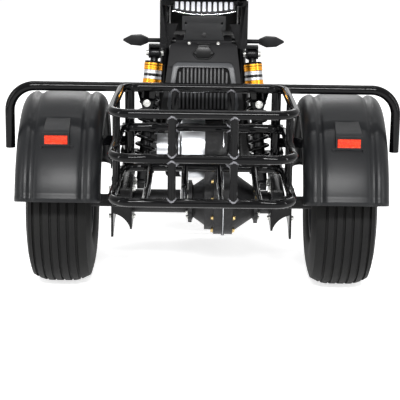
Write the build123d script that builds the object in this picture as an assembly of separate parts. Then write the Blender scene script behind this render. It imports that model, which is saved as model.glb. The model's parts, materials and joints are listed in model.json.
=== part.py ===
from build123d import *
import os
from math import cos, pi, radians, sin, sqrt

# Electric trike: one steered front wheel, two driven rear wheels on a gearbox axle,
# a stepped seat, wide rear wings under a guard rail, and a tube cargo basket behind.
# Millimetres. X is the rider's right, Y runs forward, Z up. The model is drawn from the
# rear axle's place on the ground and moved at the end, so that the origin is at the
# middle of the whole trike on the ground.

# Clearances
touch = 0.3
running_fit = 0.05
running_gap = 1.5

# Wheels and tyres
wheelbase = 1400.0
rear_tyre_diameter = 460.0
rear_tyre_width = 180.0
rear_wheel_x = 392.0
rear_rim_diameter = 206.0
rear_rim_width = 146.0
front_tyre_diameter = 480.0
front_tyre_width = 122.0
front_rim_diameter = 304.0
front_rim_width = 82.0
rear_bead_lip = 6.0
front_bead_lip = 4.0
rim_wall = 4.0
spindle_radius = 14.0
front_axle_radius = 9.95

# Tyre outlines: share of half the width, share of the wall from bead to crown
rear_tyre_shape = ((0.97, 0.27), (1.0, 0.53), (0.945, 0.83), (0.78, 0.95), (0.55, 1.0))
front_tyre_shape = ((0.94, 0.3), (1.0, 0.5), (0.87, 0.75), (0.54, 0.94), (0.18, 1.0))

# Rear wheel centre: a dished disc with windows, a hub and the brake drum behind it
rear_hub_in = 20.0
rear_hub_out = 52.0
rear_hub_radius = 36.0
disc_x = 34.0
disc_wall = 10.0
disc_dish = 6.0
window_count = 6
window_size = (30.0, 20.0)
window_radius = 62.0
drum_radius = 76.0
drum_wall = 8.0
drum_in = 48.0
drum_out = 26.0

# Front wheel centre: a barrel hub, pairs of tapered spokes and the brake disc
front_hub_half = 44.0
front_hub_radius = 32.0
spoke_pairs = 5
spoke_spread = 9.0
spoke_wall = 18.0
spoke_root = 13.0
spoke_tip = 8.0
brake_disc_wall = 4.0
brake_disc_radius = 90.0
brake_hole_radius = 8.0
brake_hole_ring = 60.0

# Wings
wing_radius = 312.0
wing_half = 114.0
wing_x = 385.0
wing_wall = 4.0
wing_skirt = 60.0
wing_band_half = 58.0
wing_channel = 7.0
wing_shoulder = 34.0
wing_lip_turn = 3.6
wing_lip_wall = 4.0
wing_rear_angle = 167.5
wing_front_angle = 8.0

# Reflectors and the moulded boxes that carry them
reflector_size = (66.0, 6.0, 28.0)
reflector_x = 389.0
reflector_z = 453.0
pod_border = 8.0
pod_stand = 6.0
pod_depth = 62.0

# Guard rail over the wings and its posts
rail_tube = 26.0
rail_past_wing = 21.0
rail_y = -160.0
rail_z = 584.0
rail_leg_bottom = 415.0
rail_bend = 68.0
post_x = 197.0
post_bend_z = 388.0
post_run_x = 217.0
post_run_z = 378.0
post_run_y = (-20.0, 230.0, 372.0)
post_bends = (45.0, 60.0, 60.0)
gusset_x = 151.0
gusset_z = 541.0
gusset_wall = 6.0
stay_size = (5.0, 26.0)
stay_z = 437.0

# Cargo basket
basket_tube = 22.0
basket_upright = 20.0
basket_back_y = -580.0
basket_back_half = 224.0
basket_front_half = 217.0
basket_levels = (370.0, 480.0, 589.0)
basket_bend = 52.0
basket_upright_x = 75.0
floor_bar = 18.0
floor_bar_dip = 10.0
floor_bar_places = (-140.0, -46.0, 46.0, 140.0)
clamp_size = (38.0, 16.0, 18.0)

# Rear axle, gearbox and motor
beam_diameter = 66.0
axle_end_diameter = 36.0
gearbox_seam_x = 61.0
gearbox_bell_radius = 93.0
gearbox_flange_left = -38.0
gearbox_flange_right = 160.0
flange_radius = 56.0
flange_wall = 11.0
flange_ears = 6
ear_size = (11.0, 18.0, 12.0)
case_x = 52.0
case_width = 88.0
case_radius = 80.0
motor_z = 362.0
motor_y = 100.0
motor_radius = 84.0
motor_length = 72.0
motor_neck = (44.0, 66.0)
motor_cover = (58.0, 22.0)
cover_ribs = 12
back_plate_radius = 80.0
back_plate_in = 58.0
back_plate_wall = 4.0

# Swing arms
arm_x = 222.0
arm_tube = 40.0
arm_plate_gap = 52.0
arm_plate_wall = 6.0
arm_plate_corner = 9.0
arm_pivot = (455.0, 262.0)
arm_pivot_pin = 23.8
arm_gusset_wall = 5.0

# Side outline of an arm's hanger plate: ahead of the axle, height
arm_plate_tip = 152.0
arm_plate_shape = (
    (70, 268), (52, 182), (-30, 178), (-96, arm_plate_tip), (-120, arm_plate_tip),
    (-112, 240), (-70, 314), (-30, 318), (30, 296),
)
arm_plate_rise = 23.0

# Shock absorbers, measured down from the upper eye
shock_top = (136.0, 30.0, 650.0)
shock_bottom = (169.0, -45.0, 292.0)
shock_eye = (16.0, 25.4)
shock_pin = 9.6
shock_body_diameter = 50.0
shock_collar = 3.0
canister_start = 24.0
canister_end = 104.0
damper_diameter = 32.0
spring_diameter = 60.0
spring_wire = 9.0
spring_turns = 6
spring_corners = 6
spring_seat_up = 42.0
spring_seat_wall = 10.0

# Main frame
frame_tube = 38.0
seat_tube = 28.0
tower_tube = 22.0
deck_tube_x = 140.0
deck_tube_z = 262.0
deck_front_y = 905.0
deck_rear_y = 420.0
neck_start = (24.0, -8.0, 521.0)
neck_knee = (122.0, 1005.0, 345.0)
side_top = (118.0, 330.0, 560.0)
side_bends = (120.0, 90.0, 90.0)
seat_rail_low = (122.0, 350.0, 470.0)
seat_rail_knee = (112.0, 300.0, 640.0)
seat_rail_rise = (104.0, 30.0, 795.0)
seat_rail_end = (104.0, -10.0, 800.0)
seat_rail_bends = (90.0, 60.0)
tower_low = (112.0, 46.0, 674.0)
tower_high = (110.0, 150.0, 726.0)
cross_tube = 30.0
shock_bracket = (34.0, 36.0, 36.0)
bracket_cheek = 4.0
bracket_top_z = 674.0
bracket_roof = 6.0
strut_x = 112.0
strut_y = 12.0
strut_size = (20.0, 18.0)
strut_gusset_wall = 4.0
strut_gusset_z = (668.0, 735.0)
strut_gusset_x = (96.0, 72.0)

# Cross members: ahead of the rear axle, height, reach to each side, diameter
cross_members = (
    (880.0, deck_tube_z, deck_tube_x, cross_tube),
    (640.0, deck_tube_z, deck_tube_x, cross_tube),
    (side_top[1], side_top[2], side_top[0], cross_tube),
    (20.0, 797.0, seat_rail_rise[0], 26.0),
    (tower_low[1], 681.0, tower_low[0], tower_tube),
)

# Footboard, battery and the cover under the seat
board_wall = 6.0
board_width = 350.0
board_length = 370.0
board_middle = 675.0
board_edge = (4.0, 26.0)
board_ribs = 9
board_rib_high = 2.0
board_rib_in = 15.0
battery_size = (232.0, 340.0, 70.0)
battery_middle = 700.0
battery_corner = 14.0
body_cover_width = 190.0
body_cover_corner = 12.0

# Side outline of the cover under the seat: ahead of the axle, height
body_cover_shape = (
    (206, 330), (186, 520), (150, 640), (196, 668),
    (300, 618), (392, 560), (392, 320), (340, 306),
)

# Centre guard at the tail: part of a large cylinder about a cross axis
tail_bend_radius = 330.0
tail_bend_y = 262.0
tail_low_z = 500.0
tail_top_z = 684.0
tail_half_low = 114.0
tail_half_top = 92.0
tail_corner = 14.0
tail_wall = 6.0
tail_deck_y = 62.0
tail_deck_z = 696.0
tail_frame_rise = 4.0
tail_panel_z = 622.0
tail_panel_top = 70.0
tail_panel_low = 88.0
tail_panel_up = 8.0
tail_panel_corner = 12.0
tail_border = 13.0
tail_ribs = 13
tail_rib_wall = 5.4
charge_angle = 30.0
charge_half = (20.0, 9.0)
charge_high = 15.0
charge_low = 11.0
charge_rise = 6.0
charge_flap = (20.0, 6.0)

# Tail lamp, its light bars and the plate bracket under it
lamp_half = 88.0
lamp_low_z = 737.0
lamp_high_z = 802.0
lamp_smile = 14.0
lamp_y = 6.0
lamp_depth = 40.0
lamp_corner = 4.0
lamp_bar_count = 11
lamp_bar_pitch = 14.4
lamp_bar_width = 8.4
lamp_bar_rise = 4.0
lamp_border = 5.0
plate_size = (120.0, 4.0, 40.0)
plate_z = 738.0
plate_y = 0.0
plate_hole_radius = 3.25
plate_hole_x = 50.0
plate_tongue_z = (690.0, 720.0)
plate_tongue_half = (58.0, 48.0)
plate_foot = (60.0, 18.0, 8.0)
signal_place = (118.0, 50.0, 683.0)
signal_stalk = 12.0
signal_reach = 40.0
signal_body_out = 72.0

# Signal body sections: outwards from its middle, width, height
signal_sections = (
    (-34.0, 14.0, 14.0),
    (-14.0, 26.0, 30.0),
    (14.0, 24.0, 26.0),
    (36.0, 4.0, 5.0),
)

# Seat, as side outlines: ahead of the rear axle, height
seat_pan_wall = 8.0
seat_pan_width = 236.0
seat_pan_shape = ((560, 690), (330, 672), (244, 694), (60, 812), (-64, 822))
rider_width = 300.0
rider_shape = (
    (566, 691), (586, 716), (572, 752), (520, 764), (330, 752),
    (264, 768), (238, 764), (226, 722), (248, 693), (330, 672),
)
passenger_width = 250.0
passenger_shape = (
    (222, 722), (230, 770), (206, 862), (170, 884), (0, 892),
    (-60, 884), (-82, 852), (-68, 823), (60, 812), (180, 736),
)
cushion_corner = 14.0

# Steering head and fork, with heights along the fork from the front axle
rake = 27.0
fork_offset = 28.8
fork_leg_x = 98.0
fork_upper_diameter = 50.0
fork_lower_diameter = 38.0
fork_sleeve_from = 250.0
fork_drop = 22.0
fork_leg_past = 34.0
lower_clamp_at = 410.0
upper_clamp_at = 612.0
clamp_height = 30.0
clamp_round = 68.0
stem_radius = 17.0
stem_clearance = 0.05
head_tube_diameter = 54.0
axle_boss = 32.0
axle_nut_past = 12.0
hub_side_gap = 6.0

# Front fender
fender_gap = 12.0
fender_side_gap = 7.0
fender_wall = 4.0
fender_skirt = 34.0
fender_front_angle = 38.0
fender_rear_angle = 172.0
fender_lug = (14.0, 26.0, 30.0)

# Handlebar and what it carries
bar_diameter = 25.0
bar_half = 400.0
bar_rise_at = 70.0
bar_ahead = 4.0
bar_flat_half = 95.0
bar_bend_x = 250.0
bar_bend_back = 62.0
bar_bend_up = 150.0
bar_end_back = 176.0
bar_end_up = 138.0
bar_bends = (60.0, 70.0)
riser_x = 40.0
riser_diameter = 30.0
grip_diameter = 34.0
grip_length = 125.0
grip_flange = (44.0, 6.0)
housing_size = (40.0, 42.0)
perch_size = (34.0, 24.0)
perch_in = 58.0
lever_ahead = (0.0, 28.0, 10.0)
lever_diameter = 9.0
mirror_in = 66.0
mirror_knee = (10.0, 16.0, 74.0)
mirror_head = (74.0, 6.0, 150.0)
mirror_stem = 9.0
mirror_size = (150.0, 84.0)
mirror_depth = 32.0
headlamp_at = 500.0
headlamp_ahead = 34.0
headlamp_bar_start = 10.0

# Headlamp bars: height along the fork, depth ahead of the legs
headlamp_bars = ((470.0, 16.0), (530.0, 52.0))

# Headlamp bucket: ahead of its back, radius
headlamp_sections = ((0.0, 36.0), (34.0, 76.0), (84.0, 84.0))
headlamp_rim = (87.0, 8.0)
headlamp_bar_high = 16.0
front_signal_at = 520.0
display_radius = 34.0
display_high = 34.0
display_ahead = 34.0

# Worked out from the sizes above
rear_axle_z = rear_tyre_diameter / 2
front_axle_z = front_tyre_diameter / 2
rail_half = wing_x + wing_half + rail_past_wing
basket_front_y = rail_y - (rail_tube + basket_tube) / 2 - touch
front_reach = wheelbase + front_tyre_diameter / 2
rear_reach = -basket_back_y + basket_tube / 2
rear_axle_y = rear_reach - (front_reach + rear_reach) / 2


def both(shape):
    """The shape and its mirror copy on the other side of the trike."""
    return shape + mirror(shape, about=Plane.YZ)


def bent_tube(points, diameter, bends):
    """A round tube along straight runs that tangent arcs join."""
    path = FilletPolyline(*points, radius=bends)
    section = Plane(origin=path @ 0, z_dir=path % 0) * Circle(diameter / 2)
    return sweep(section, path=path)


def rod(start, end, diameter):
    """A straight round bar from one point to another."""
    start, end = Vector(start), Vector(end)
    line = end - start
    section = Plane(origin=start, z_dir=line) * Circle(diameter / 2)
    return extrude(section, amount=line.length)


def cross_rod(place, diameter, length):
    """A round bar across the trike, centred on a place."""
    return Pos(*place) * Rot(0, 90, 0) * Cylinder(diameter / 2, length)


def ring_about_x(outline):
    """A solid turned about the X axis from (x, radius) points."""
    return revolve(make_face(Polyline(*outline, close=True)), axis=Axis.X)


def rounded(outline, corner):
    """A face from a closed outline with its corners rounded."""
    face = make_face(outline)
    return fillet(face.vertices(), corner) if corner else face


def plate_yz(outline, x, wall, corner=0):
    """A flat plate across X: its outline is (y, z) points, centred on x."""
    face = rounded(Plane.YZ * Polyline(*outline, close=True), corner)
    return Pos(x - wall / 2, 0, 0) * extrude(face, amount=wall, dir=(1, 0, 0))


def plate_xz(outline, y, wall, corner=0):
    """A flat plate across Y: its outline is (x, z) points, from y forward."""
    face = rounded(Plane.XZ * Polyline(*outline, close=True), corner)
    return Pos(0, y, 0) * extrude(face, amount=wall, dir=(0, 1, 0))


# Steering geometry: a point at a height along the fork, sideways and forward of its axis
steer_up = Vector(0, -sin(radians(rake)), cos(radians(rake)))
steer_forward = Vector(0, cos(radians(rake)), sin(radians(rake)))
front_axle = Vector(0, wheelbase, front_axle_z)


def on_fork(side, forward, along):
    """Place by the steering axis: sideways, ahead of the axis, and up from the axle."""
    shift = steer_forward * (forward - fork_offset)
    return front_axle + Vector(side, 0, 0) + shift + steer_up * along


def on_fork_plane(side, forward, along):
    """Work plane square to the steering axis at a place by the fork."""
    return Plane(origin=on_fork(side, forward, along), x_dir=(1, 0, 0), z_dir=steer_up)


def tyre(diameter, width, rim_diameter, rim_width, bead_lip, shape):
    """A tyre's solid ring, from its bead seats to its tread."""
    bead = rim_diameter / 2
    wall = diameter / 2 - bead
    seat = rim_width / 2
    right = [(seat - bead_lip, bead), (seat, bead + bead_lip * 2)]
    right += [(width / 2 * across, bead + wall * out) for across, out in shape]
    left = [(-x, radius) for x, radius in reversed(right)]
    return ring_about_x(right + left)


def rim_barrel(rim_diameter, rim_width, bead_lip):
    """A rim's outer ring: two flanges that hold the tyre's beads, and the seats between them."""
    seat = rim_diameter / 2 - touch
    half = rim_width / 2
    flange = seat + bead_lip * 1.5
    right = [
        (half - bead_lip, seat),
        (half + touch, flange),
        (half + rim_wall, flange),
        (half + rim_wall, seat - rim_wall),
        (half - 2 * rim_wall, seat - 2.5 * rim_wall),
    ]
    left = [(-x, radius) for x, radius in reversed(right)]
    return ring_about_x(right + left)


def rear_rim():
    """Rear wheel: barrel, dished disc with windows, hub bored for the spindle and brake drum."""
    barrel = rim_barrel(rear_rim_diameter, rear_rim_width, rear_bead_lip)
    inside = rear_rim_diameter / 2 - 2 * rim_wall
    half = disc_wall / 2
    disc = ring_about_x(
        [
            (disc_x - half, rear_hub_radius - 4),
            (disc_x + half, rear_hub_radius - 4),
            (disc_x + half - disc_dish, window_radius),
            (disc_x + half, inside),
            (disc_x - half, inside),
            (disc_x - half - disc_dish, window_radius),
        ]
    )
    slot = SlotOverall(*window_size, rotation=90)
    cutter = extrude(slot, amount=disc_wall + disc_dish, both=True)
    window = Pos(disc_x, 0, window_radius) * Rot(0, 90, 0) * cutter
    for turn in range(window_count):
        disc -= Rot(turn * 360 / window_count, 0, 0) * window
    bore = spindle_radius + running_fit
    hub = ring_about_x(
        [
            (-rear_hub_in, bore),
            (rear_hub_out, bore),
            (rear_hub_out, rear_hub_radius - 4),
            (rear_hub_out - 8, rear_hub_radius),
            (-rear_hub_in, rear_hub_radius),
        ]
    )
    drum = ring_about_x(
        [
            (-drum_in, drum_radius),
            (-drum_in, drum_radius - drum_wall),
            (drum_out - drum_wall, drum_radius - drum_wall),
            (drum_out - drum_wall, rear_hub_radius - 2),
            (drum_out, rear_hub_radius - 2),
            (drum_out, drum_radius),
        ]
    )
    return barrel + disc + hub + drum


def front_rim():
    """Front wheel: barrel, pairs of tapered spokes and a hub bored for the axle."""
    rim = rim_barrel(front_rim_diameter, front_rim_width, front_bead_lip)
    bore = front_axle_radius + running_fit
    half = front_hub_half
    waist = half - 20
    hub = ring_about_x(
        [
            (-half, bore),
            (half, bore),
            (half, front_hub_radius - 8),
            (waist, front_hub_radius),
            (-waist, front_hub_radius),
            (-half, front_hub_radius - 8),
        ]
    )
    root = front_hub_radius - 4
    tip = front_rim_diameter / 2 - 2 * rim_wall
    outline = [(-spoke_root, root), (spoke_root, root), (spoke_tip, tip), (-spoke_tip, tip)]
    spoke = plate_yz(outline, 0, spoke_wall)
    for turn in range(spoke_pairs):
        for lean in (-spoke_spread, spoke_spread):
            rim += Rot(turn * 360 / spoke_pairs + lean, 0, 0) * spoke
    return rim + hub


def brake_disc():
    """Front brake disc on the hub's left end, with a ring of holes."""
    inner = front_hub_radius - 18
    left = -front_hub_half - brake_disc_wall
    right = -front_hub_half
    outer = brake_disc_radius
    disc = ring_about_x([(left, inner), (right, inner), (right, outer), (left, outer)])
    hole = cross_rod((left, 0, brake_hole_ring), 2 * brake_hole_radius, 4 * brake_disc_wall)
    for turn in range(6):
        disc -= Rot(turn * 60, 0, 0) * hole
    return disc


def wing():
    """A rear wing: an arched guard with a raised centre band, a channel each side and rolled ends."""
    top = wing_radius
    half = wing_half
    low = top - wing_skirt
    band = wing_band_half
    roof = top - wing_channel - wing_wall
    right = [
        (0, top),
        (band, top - 1),
        (band + 7, top - wing_channel),
        (band + 18, top - wing_channel),
        (band + 24, top - 3),
        (half - 20, top - 6),
        (half - 7, top - 16),
        (half, top - wing_shoulder),
        (half, low),
        (half - wing_wall, low),
        (half - wing_wall, top - wing_shoulder - 1),
        (half - 16, top - 16),
        (band + 22, roof),
        (band, roof),
        (band - 8, top - 2 - wing_wall),
    ]
    left = [(-x, radius) for x, radius in reversed(right[1:])]
    section = make_face(Polyline(*right, *left, close=True))
    turn = wing_rear_angle - wing_front_angle
    guard = revolve(Rot(wing_front_angle, 0, 0) * section, axis=Axis.X, revolution_arc=turn)
    lip = wing_lip_wall
    lip_right = [
        (0, top + lip),
        (half - 18, top - 7 + lip),
        (half + lip / 2, top - wing_shoulder + 2),
        (half + lip / 2, low),
        (half - 2 * wing_wall, low),
        (half - 14, top - wing_shoulder - 4),
        (half - 30, top - 17),
    ]
    lip_left = [(-x, radius) for x, radius in reversed(lip_right[1:])]
    lip_section = make_face(Polyline(*lip_right, *lip_left, close=True))
    for angle in (wing_rear_angle - wing_lip_turn, wing_front_angle):
        guard += revolve(Rot(angle, 0, 0) * lip_section, axis=Axis.X, revolution_arc=wing_lip_turn)
    return Pos(wing_x, 0, rear_axle_z) * guard


def pod_face():
    """Where the pod's upright face stands: just behind the wing at the pod's lower edge."""
    low = reflector_z - rear_axle_z - reflector_size[2] / 2 - pod_border
    return -sqrt(wing_radius**2 - low**2) - pod_stand


def reflector_pod():
    """The moulded box on a wing that gives the reflector its upright face, open at the back."""
    width, depth, height = reflector_size
    low = reflector_z - height / 2 - pod_border
    high = reflector_z + height / 2 + pod_border
    face = pod_face()
    back = face + pod_depth
    outline = [(face, low), (face, high), (face + pod_border, high + 2), (back, high + 2), (back, low)]
    pod = plate_yz(outline, reflector_x, width + 2 * pod_border)
    recess = Pos(reflector_x, face + depth / 2, reflector_z) * Box(width + 2, depth + touch, height + 2)
    inside = cross_rod((wing_x, 0, rear_axle_z), 2 * (wing_radius - wing_wall), 2 * wing_half)
    return pod - recess - inside


def reflector():
    """Red reflector on the floor of its box."""
    width, depth, height = reflector_size
    return Pos(reflector_x, pod_face() + depth / 2, reflector_z) * Box(width, depth, height)


def rear_rail(main):
    """The guard rail over the wings, its two posts, and their runs to the frame."""
    bar = bent_tube(
        [
            (-rail_half, rail_y, rail_leg_bottom),
            (-rail_half, rail_y, rail_z),
            (rail_half, rail_y, rail_z),
            (rail_half, rail_y, rail_leg_bottom),
        ],
        rail_tube,
        rail_bend,
    )
    run_start, run_middle, run_end = post_run_y
    post = bent_tube(
        [
            (post_x, rail_y, rail_z),
            (post_x, rail_y, post_bend_z),
            (post_run_x, run_start, post_run_z),
            (post_run_x, run_middle, post_run_z),
            (deck_tube_x - 6, run_end, post_run_z),
        ],
        rail_tube,
        list(post_bends),
    )
    gusset = plate_xz(
        [
            (gusset_x - 25, rail_z - 6),
            (gusset_x + 27, rail_z - 6),
            (gusset_x + 12, gusset_z - 14),
            (gusset_x + 2, gusset_z - 19),
            (gusset_x - 12, gusset_z - 17),
            (gusset_x - 17, gusset_z - 6),
        ],
        rail_y - gusset_wall / 2,
        gusset_wall,
    )
    stay_from = post_x + rail_tube / 4
    stay_to = wing_x - wing_half - touch
    stay = Pos((stay_from + stay_to) / 2, rail_y, stay_z) * Box(stay_to - stay_from, *stay_size)
    return bar + both(post + gusset + stay) - main


def cargo_basket(rail):
    """Three bent tube rings with uprights between them and four bowed floor bars."""
    basket = Part()
    for level in basket_levels:
        half_ring = bent_tube(
            [
                (0, basket_back_y, level),
                (basket_back_half, basket_back_y, level),
                (basket_front_half, basket_front_y, level),
                (0, basket_front_y, level),
            ],
            basket_tube,
            basket_bend,
        )
        basket += both(half_ring)
    low, high = basket_levels[0], basket_levels[-1]
    side_x = (basket_back_half + basket_front_half) / 2
    side_y = (basket_back_y + basket_front_y) / 2
    # Upright places: sideways, ahead
    uprights = ((basket_upright_x, basket_back_y), (basket_upright_x, basket_front_y), (side_x, side_y))
    for x, y in uprights:
        basket += both(rod((x, y, low), (x, y, high), basket_upright))
    for x in floor_bar_places:
        middle = (x, side_y, low - floor_bar_dip)
        basket += bent_tube([(x, basket_back_y, low), middle, (x, basket_front_y, low)], floor_bar, 600)
    for level in basket_levels[:2]:
        basket += both(Pos(post_x, basket_front_y + clamp_size[1] / 2, level) * Box(*clamp_size))
    return basket - rail


def gearbox():
    """Two bell halves about the axle, with the reduction case that carries the motor."""
    left, right, seam = gearbox_flange_left, gearbox_flange_right, gearbox_seam_x
    belly = gearbox_bell_radius
    bell = ring_about_x(
        [
            (left, 0),
            (left, flange_radius),
            (left + flange_wall, flange_radius),
            (left + flange_wall + 4, flange_radius - 10),
            (seam - 35, belly - 13),
            (seam - 27, belly - 9),
            (seam - 27, belly),
            (seam + 27, belly),
            (seam + 27, belly - 9),
            (seam + 35, belly - 13),
            (right - flange_wall - 4, flange_radius - 10),
            (right - flange_wall, flange_radius),
            (right, flange_radius),
            (right, 0),
        ]
    )
    low, high = belly - 13, belly + 4
    bell += ring_about_x([(seam - 4, low), (seam - 4, high), (seam + 4, high), (seam + 4, low)])
    for face, side in ((left, 1), (right, -1)):
        ear = Pos(face + side * ear_size[0] / 2, 0, flange_radius - 2) * Box(*ear_size)
        for turn in range(flange_ears):
            bell += Rot(turn * 360 / flange_ears, 0, 0) * ear
    bell = Pos(0, 0, rear_axle_z) * bell
    axle, shaft = Vector(case_x, 0, rear_axle_z), Vector(case_x, motor_y, motor_z)
    case = cross_rod(axle, 2 * case_radius, case_width) + cross_rod(shaft, 2 * case_radius, case_width)
    across = Vector(1, 0, 0).cross((shaft - axle).normalized()) * (case_radius - touch)
    corners = [axle + across, axle - across, shaft - across, shaft + across]
    web = plate_yz([(corner.Y, corner.Z) for corner in corners], case_x, case_width)
    seam_rib = cross_rod((seam, motor_y, motor_z), 2 * case_radius + 10, 8)
    return bell + case + web + seam_rib


def motor(box):
    """The drive motor: a drum body, a narrower neck and a ribbed end cover."""
    start = case_x - case_width / 2
    body_end = start - motor_length
    neck_radius, neck_long = motor_neck
    cover_radius, cover_wall = motor_cover
    neck_end = body_end - neck_long
    body = ring_about_x(
        [
            (body_end, 0),
            (body_end, motor_radius - 10),
            (body_end + 6, motor_radius),
            (start, motor_radius),
            (start, 0),
        ]
    )
    neck = ring_about_x([(neck_end, 0), (neck_end, neck_radius), (body_end, neck_radius), (body_end, 0)])
    cover = ring_about_x(
        [
            (neck_end - cover_wall, 0),
            (neck_end - cover_wall, cover_radius - 8),
            (neck_end - cover_wall + 6, cover_radius),
            (neck_end, cover_radius),
            (neck_end, 0),
        ]
    )
    rib = Pos(neck_end - cover_wall / 2 + 3, 0, cover_radius) * Box(cover_wall - 6, 6, 8)
    for turn in range(cover_ribs):
        cover += Rot(turn * 360 / cover_ribs, 0, 0) * rib
    return Pos(0, motor_y, motor_z) * (body + neck + cover) - box


def axle_housing(box):
    """Axle beam either side of the gearbox, thinner ends, brake back plates and spindles."""
    beam = beam_diameter / 2
    end = axle_end_diameter / 2
    plate_in = rear_wheel_x - back_plate_in
    plate_out = plate_in + back_plate_wall
    hub_in = rear_wheel_x - rear_hub_in - touch
    hub_out = rear_wheel_x + rear_hub_out + touch
    beam_end = arm_x + 10
    outer = [
        (beam_end, beam),
        (beam_end, end),
        (plate_in, end),
        (plate_in, back_plate_radius),
        (plate_out, back_plate_radius),
        (plate_out, end + 6),
        (hub_in, end + 6),
        (hub_in, spindle_radius),
        (hub_out, spindle_radius),
        (hub_out, end + 4),
        (hub_out + 10, end + 4),
        (hub_out + 10, 0),
    ]
    right = ring_about_x([(gearbox_flange_right, 0), (gearbox_flange_right, beam)] + outer)
    left = ring_about_x([(-gearbox_flange_left, 0), (-gearbox_flange_left, beam)] + outer)
    return Pos(0, 0, rear_axle_z) * (right + mirror(left, about=Plane.YZ)) - box


def swing_arm():
    """One side's arm: a tube from its pivot to two hanger plates that clamp the axle."""
    pivot_y, pivot_z = arm_pivot
    arm = rod((arm_x, pivot_y, pivot_z), (arm_x, 40, rear_axle_z + 4), arm_tube)
    arm += cross_rod((arm_x, pivot_y, pivot_z), arm_tube + 8, arm_plate_gap - arm_plate_wall)
    for side in (-1, 1):
        rise = arm_plate_rise if side < 0 else 0
        outline = [(y, z + rise if z == arm_plate_tip else z) for y, z in arm_plate_shape]
        arm += plate_yz(outline, arm_x + side * arm_plate_gap / 2, arm_plate_wall, arm_plate_corner)
    arm -= cross_rod((arm_x, 0, rear_axle_z), beam_diameter, 2 * arm_plate_gap)
    arm -= cross_rod((arm_x, pivot_y, pivot_z), arm_pivot_pin + 2 * touch, 2 * arm_plate_gap)
    half = (arm_plate_gap - arm_plate_wall) / 2
    back_y, top = arm_plate_shape[5]
    inner, outer = arm_x - half, arm_x + half
    edge = Polyline((inner, top - 60), (inner, top), (outer, top), (outer, top - 20))
    curve = ThreePointArc((outer, top - 20), (arm_x, top - 30), (inner, top - 60))
    gusset = extrude(make_face(Plane.XZ * (edge + curve)), amount=arm_gusset_wall, dir=(0, 1, 0))
    return arm + Pos(0, back_y, 0) * gusset


def shock_line():
    """Upper eye, lower eye and the direction down a shock absorber."""
    top, bottom = Vector(*shock_top), Vector(*shock_bottom)
    return top, bottom, (bottom - top).normalized()


def shock_absorber():
    """Eyes, canister with its collars, damper and spring seats of one shock absorber."""
    top, bottom, down = shock_line()
    length = (bottom - top).length
    # Stages down from the upper eye: start, end, diameter
    stages = (
        (8, canister_start + 6, damper_diameter - 10),
        (canister_start, canister_end, shock_body_diameter),
        (canister_start + 4, canister_start + 16, shock_body_diameter + shock_collar),
        (canister_end - 12, canister_end - 4, shock_body_diameter + shock_collar),
        (canister_end - 4, canister_end, spring_diameter),
        (canister_end - 4, length - 12, damper_diameter),
        (length - spring_seat_up, length - spring_seat_up + spring_seat_wall, spring_diameter + 4),
    )
    shock = Part()
    for start, end, diameter in stages:
        shock += rod(top + down * start, top + down * end, diameter)
    for point in (top, bottom):
        shock += cross_rod(point, 2 * shock_eye[0], shock_eye[1])
    for point in (top, bottom):
        shock -= cross_rod(point, shock_pin + 2 * touch, 2 * shock_eye[1])
    return shock


def shock_spring():
    """Coil spring round the damper, its wire drawn as short runs joined by arcs."""
    top, bottom, down = shock_line()
    start = canister_end + spring_wire / 2 + touch
    end = (bottom - top).length - spring_seat_up - spring_wire / 2 - touch
    radius = (spring_diameter - spring_wire) / 2
    side = Vector(1, 0, 0).cross(down).normalized()
    other = down.cross(side)
    corners = spring_turns * spring_corners
    points = []
    for index in range(corners + 1):
        angle = 2 * pi * index / spring_corners
        centre = top + down * (start + (end - start) * index / corners)
        points.append(centre + side * (radius * cos(angle)) + other * (radius * sin(angle)))
    return bent_tube(points, spring_wire, radius * 0.75)


def shock_bolts():
    """The upper pin in the frame's bracket and the lower pin in the arm's inner plate."""
    top, bottom, down = shock_line()
    plate = arm_x - (arm_plate_gap + arm_plate_wall) / 2
    lower = rod((bottom.X - 18, bottom.Y, bottom.Z), (plate, bottom.Y, bottom.Z), shock_pin)
    return cross_rod(top, shock_pin, shock_eye[1] + 22) + lower


def shock_mount():
    """Bracket on the cross tube that holds a shock absorber's upper pin."""
    x, y, z = shock_top
    wide, long, high = shock_bracket
    mount = Pos(x, y, bracket_top_z - bracket_roof / 2) * Box(wide, long, bracket_roof)
    for side in (-1, 1):
        cheek_x = x + side * (wide - bracket_cheek) / 2
        mount += Pos(cheek_x, y, bracket_top_z - high / 2) * Box(bracket_cheek, long, high)
    return mount - cross_rod((x, y, z), shock_pin, 2 * wide)


def strut():
    """Upright under the seat's end beside the tail lamp, with the gusset behind its plate."""
    low, high = strut_gusset_z
    top = seat_rail_end[2]
    post = Pos(strut_x, strut_y, (low + top) / 2) * Box(*strut_size, top - low)
    inner_low, inner_high = strut_gusset_x
    outline = [(strut_x, low), (inner_low, low), (inner_high, high), (strut_x, high)]
    return post + plate_xz(outline, strut_y, strut_gusset_wall)


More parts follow.
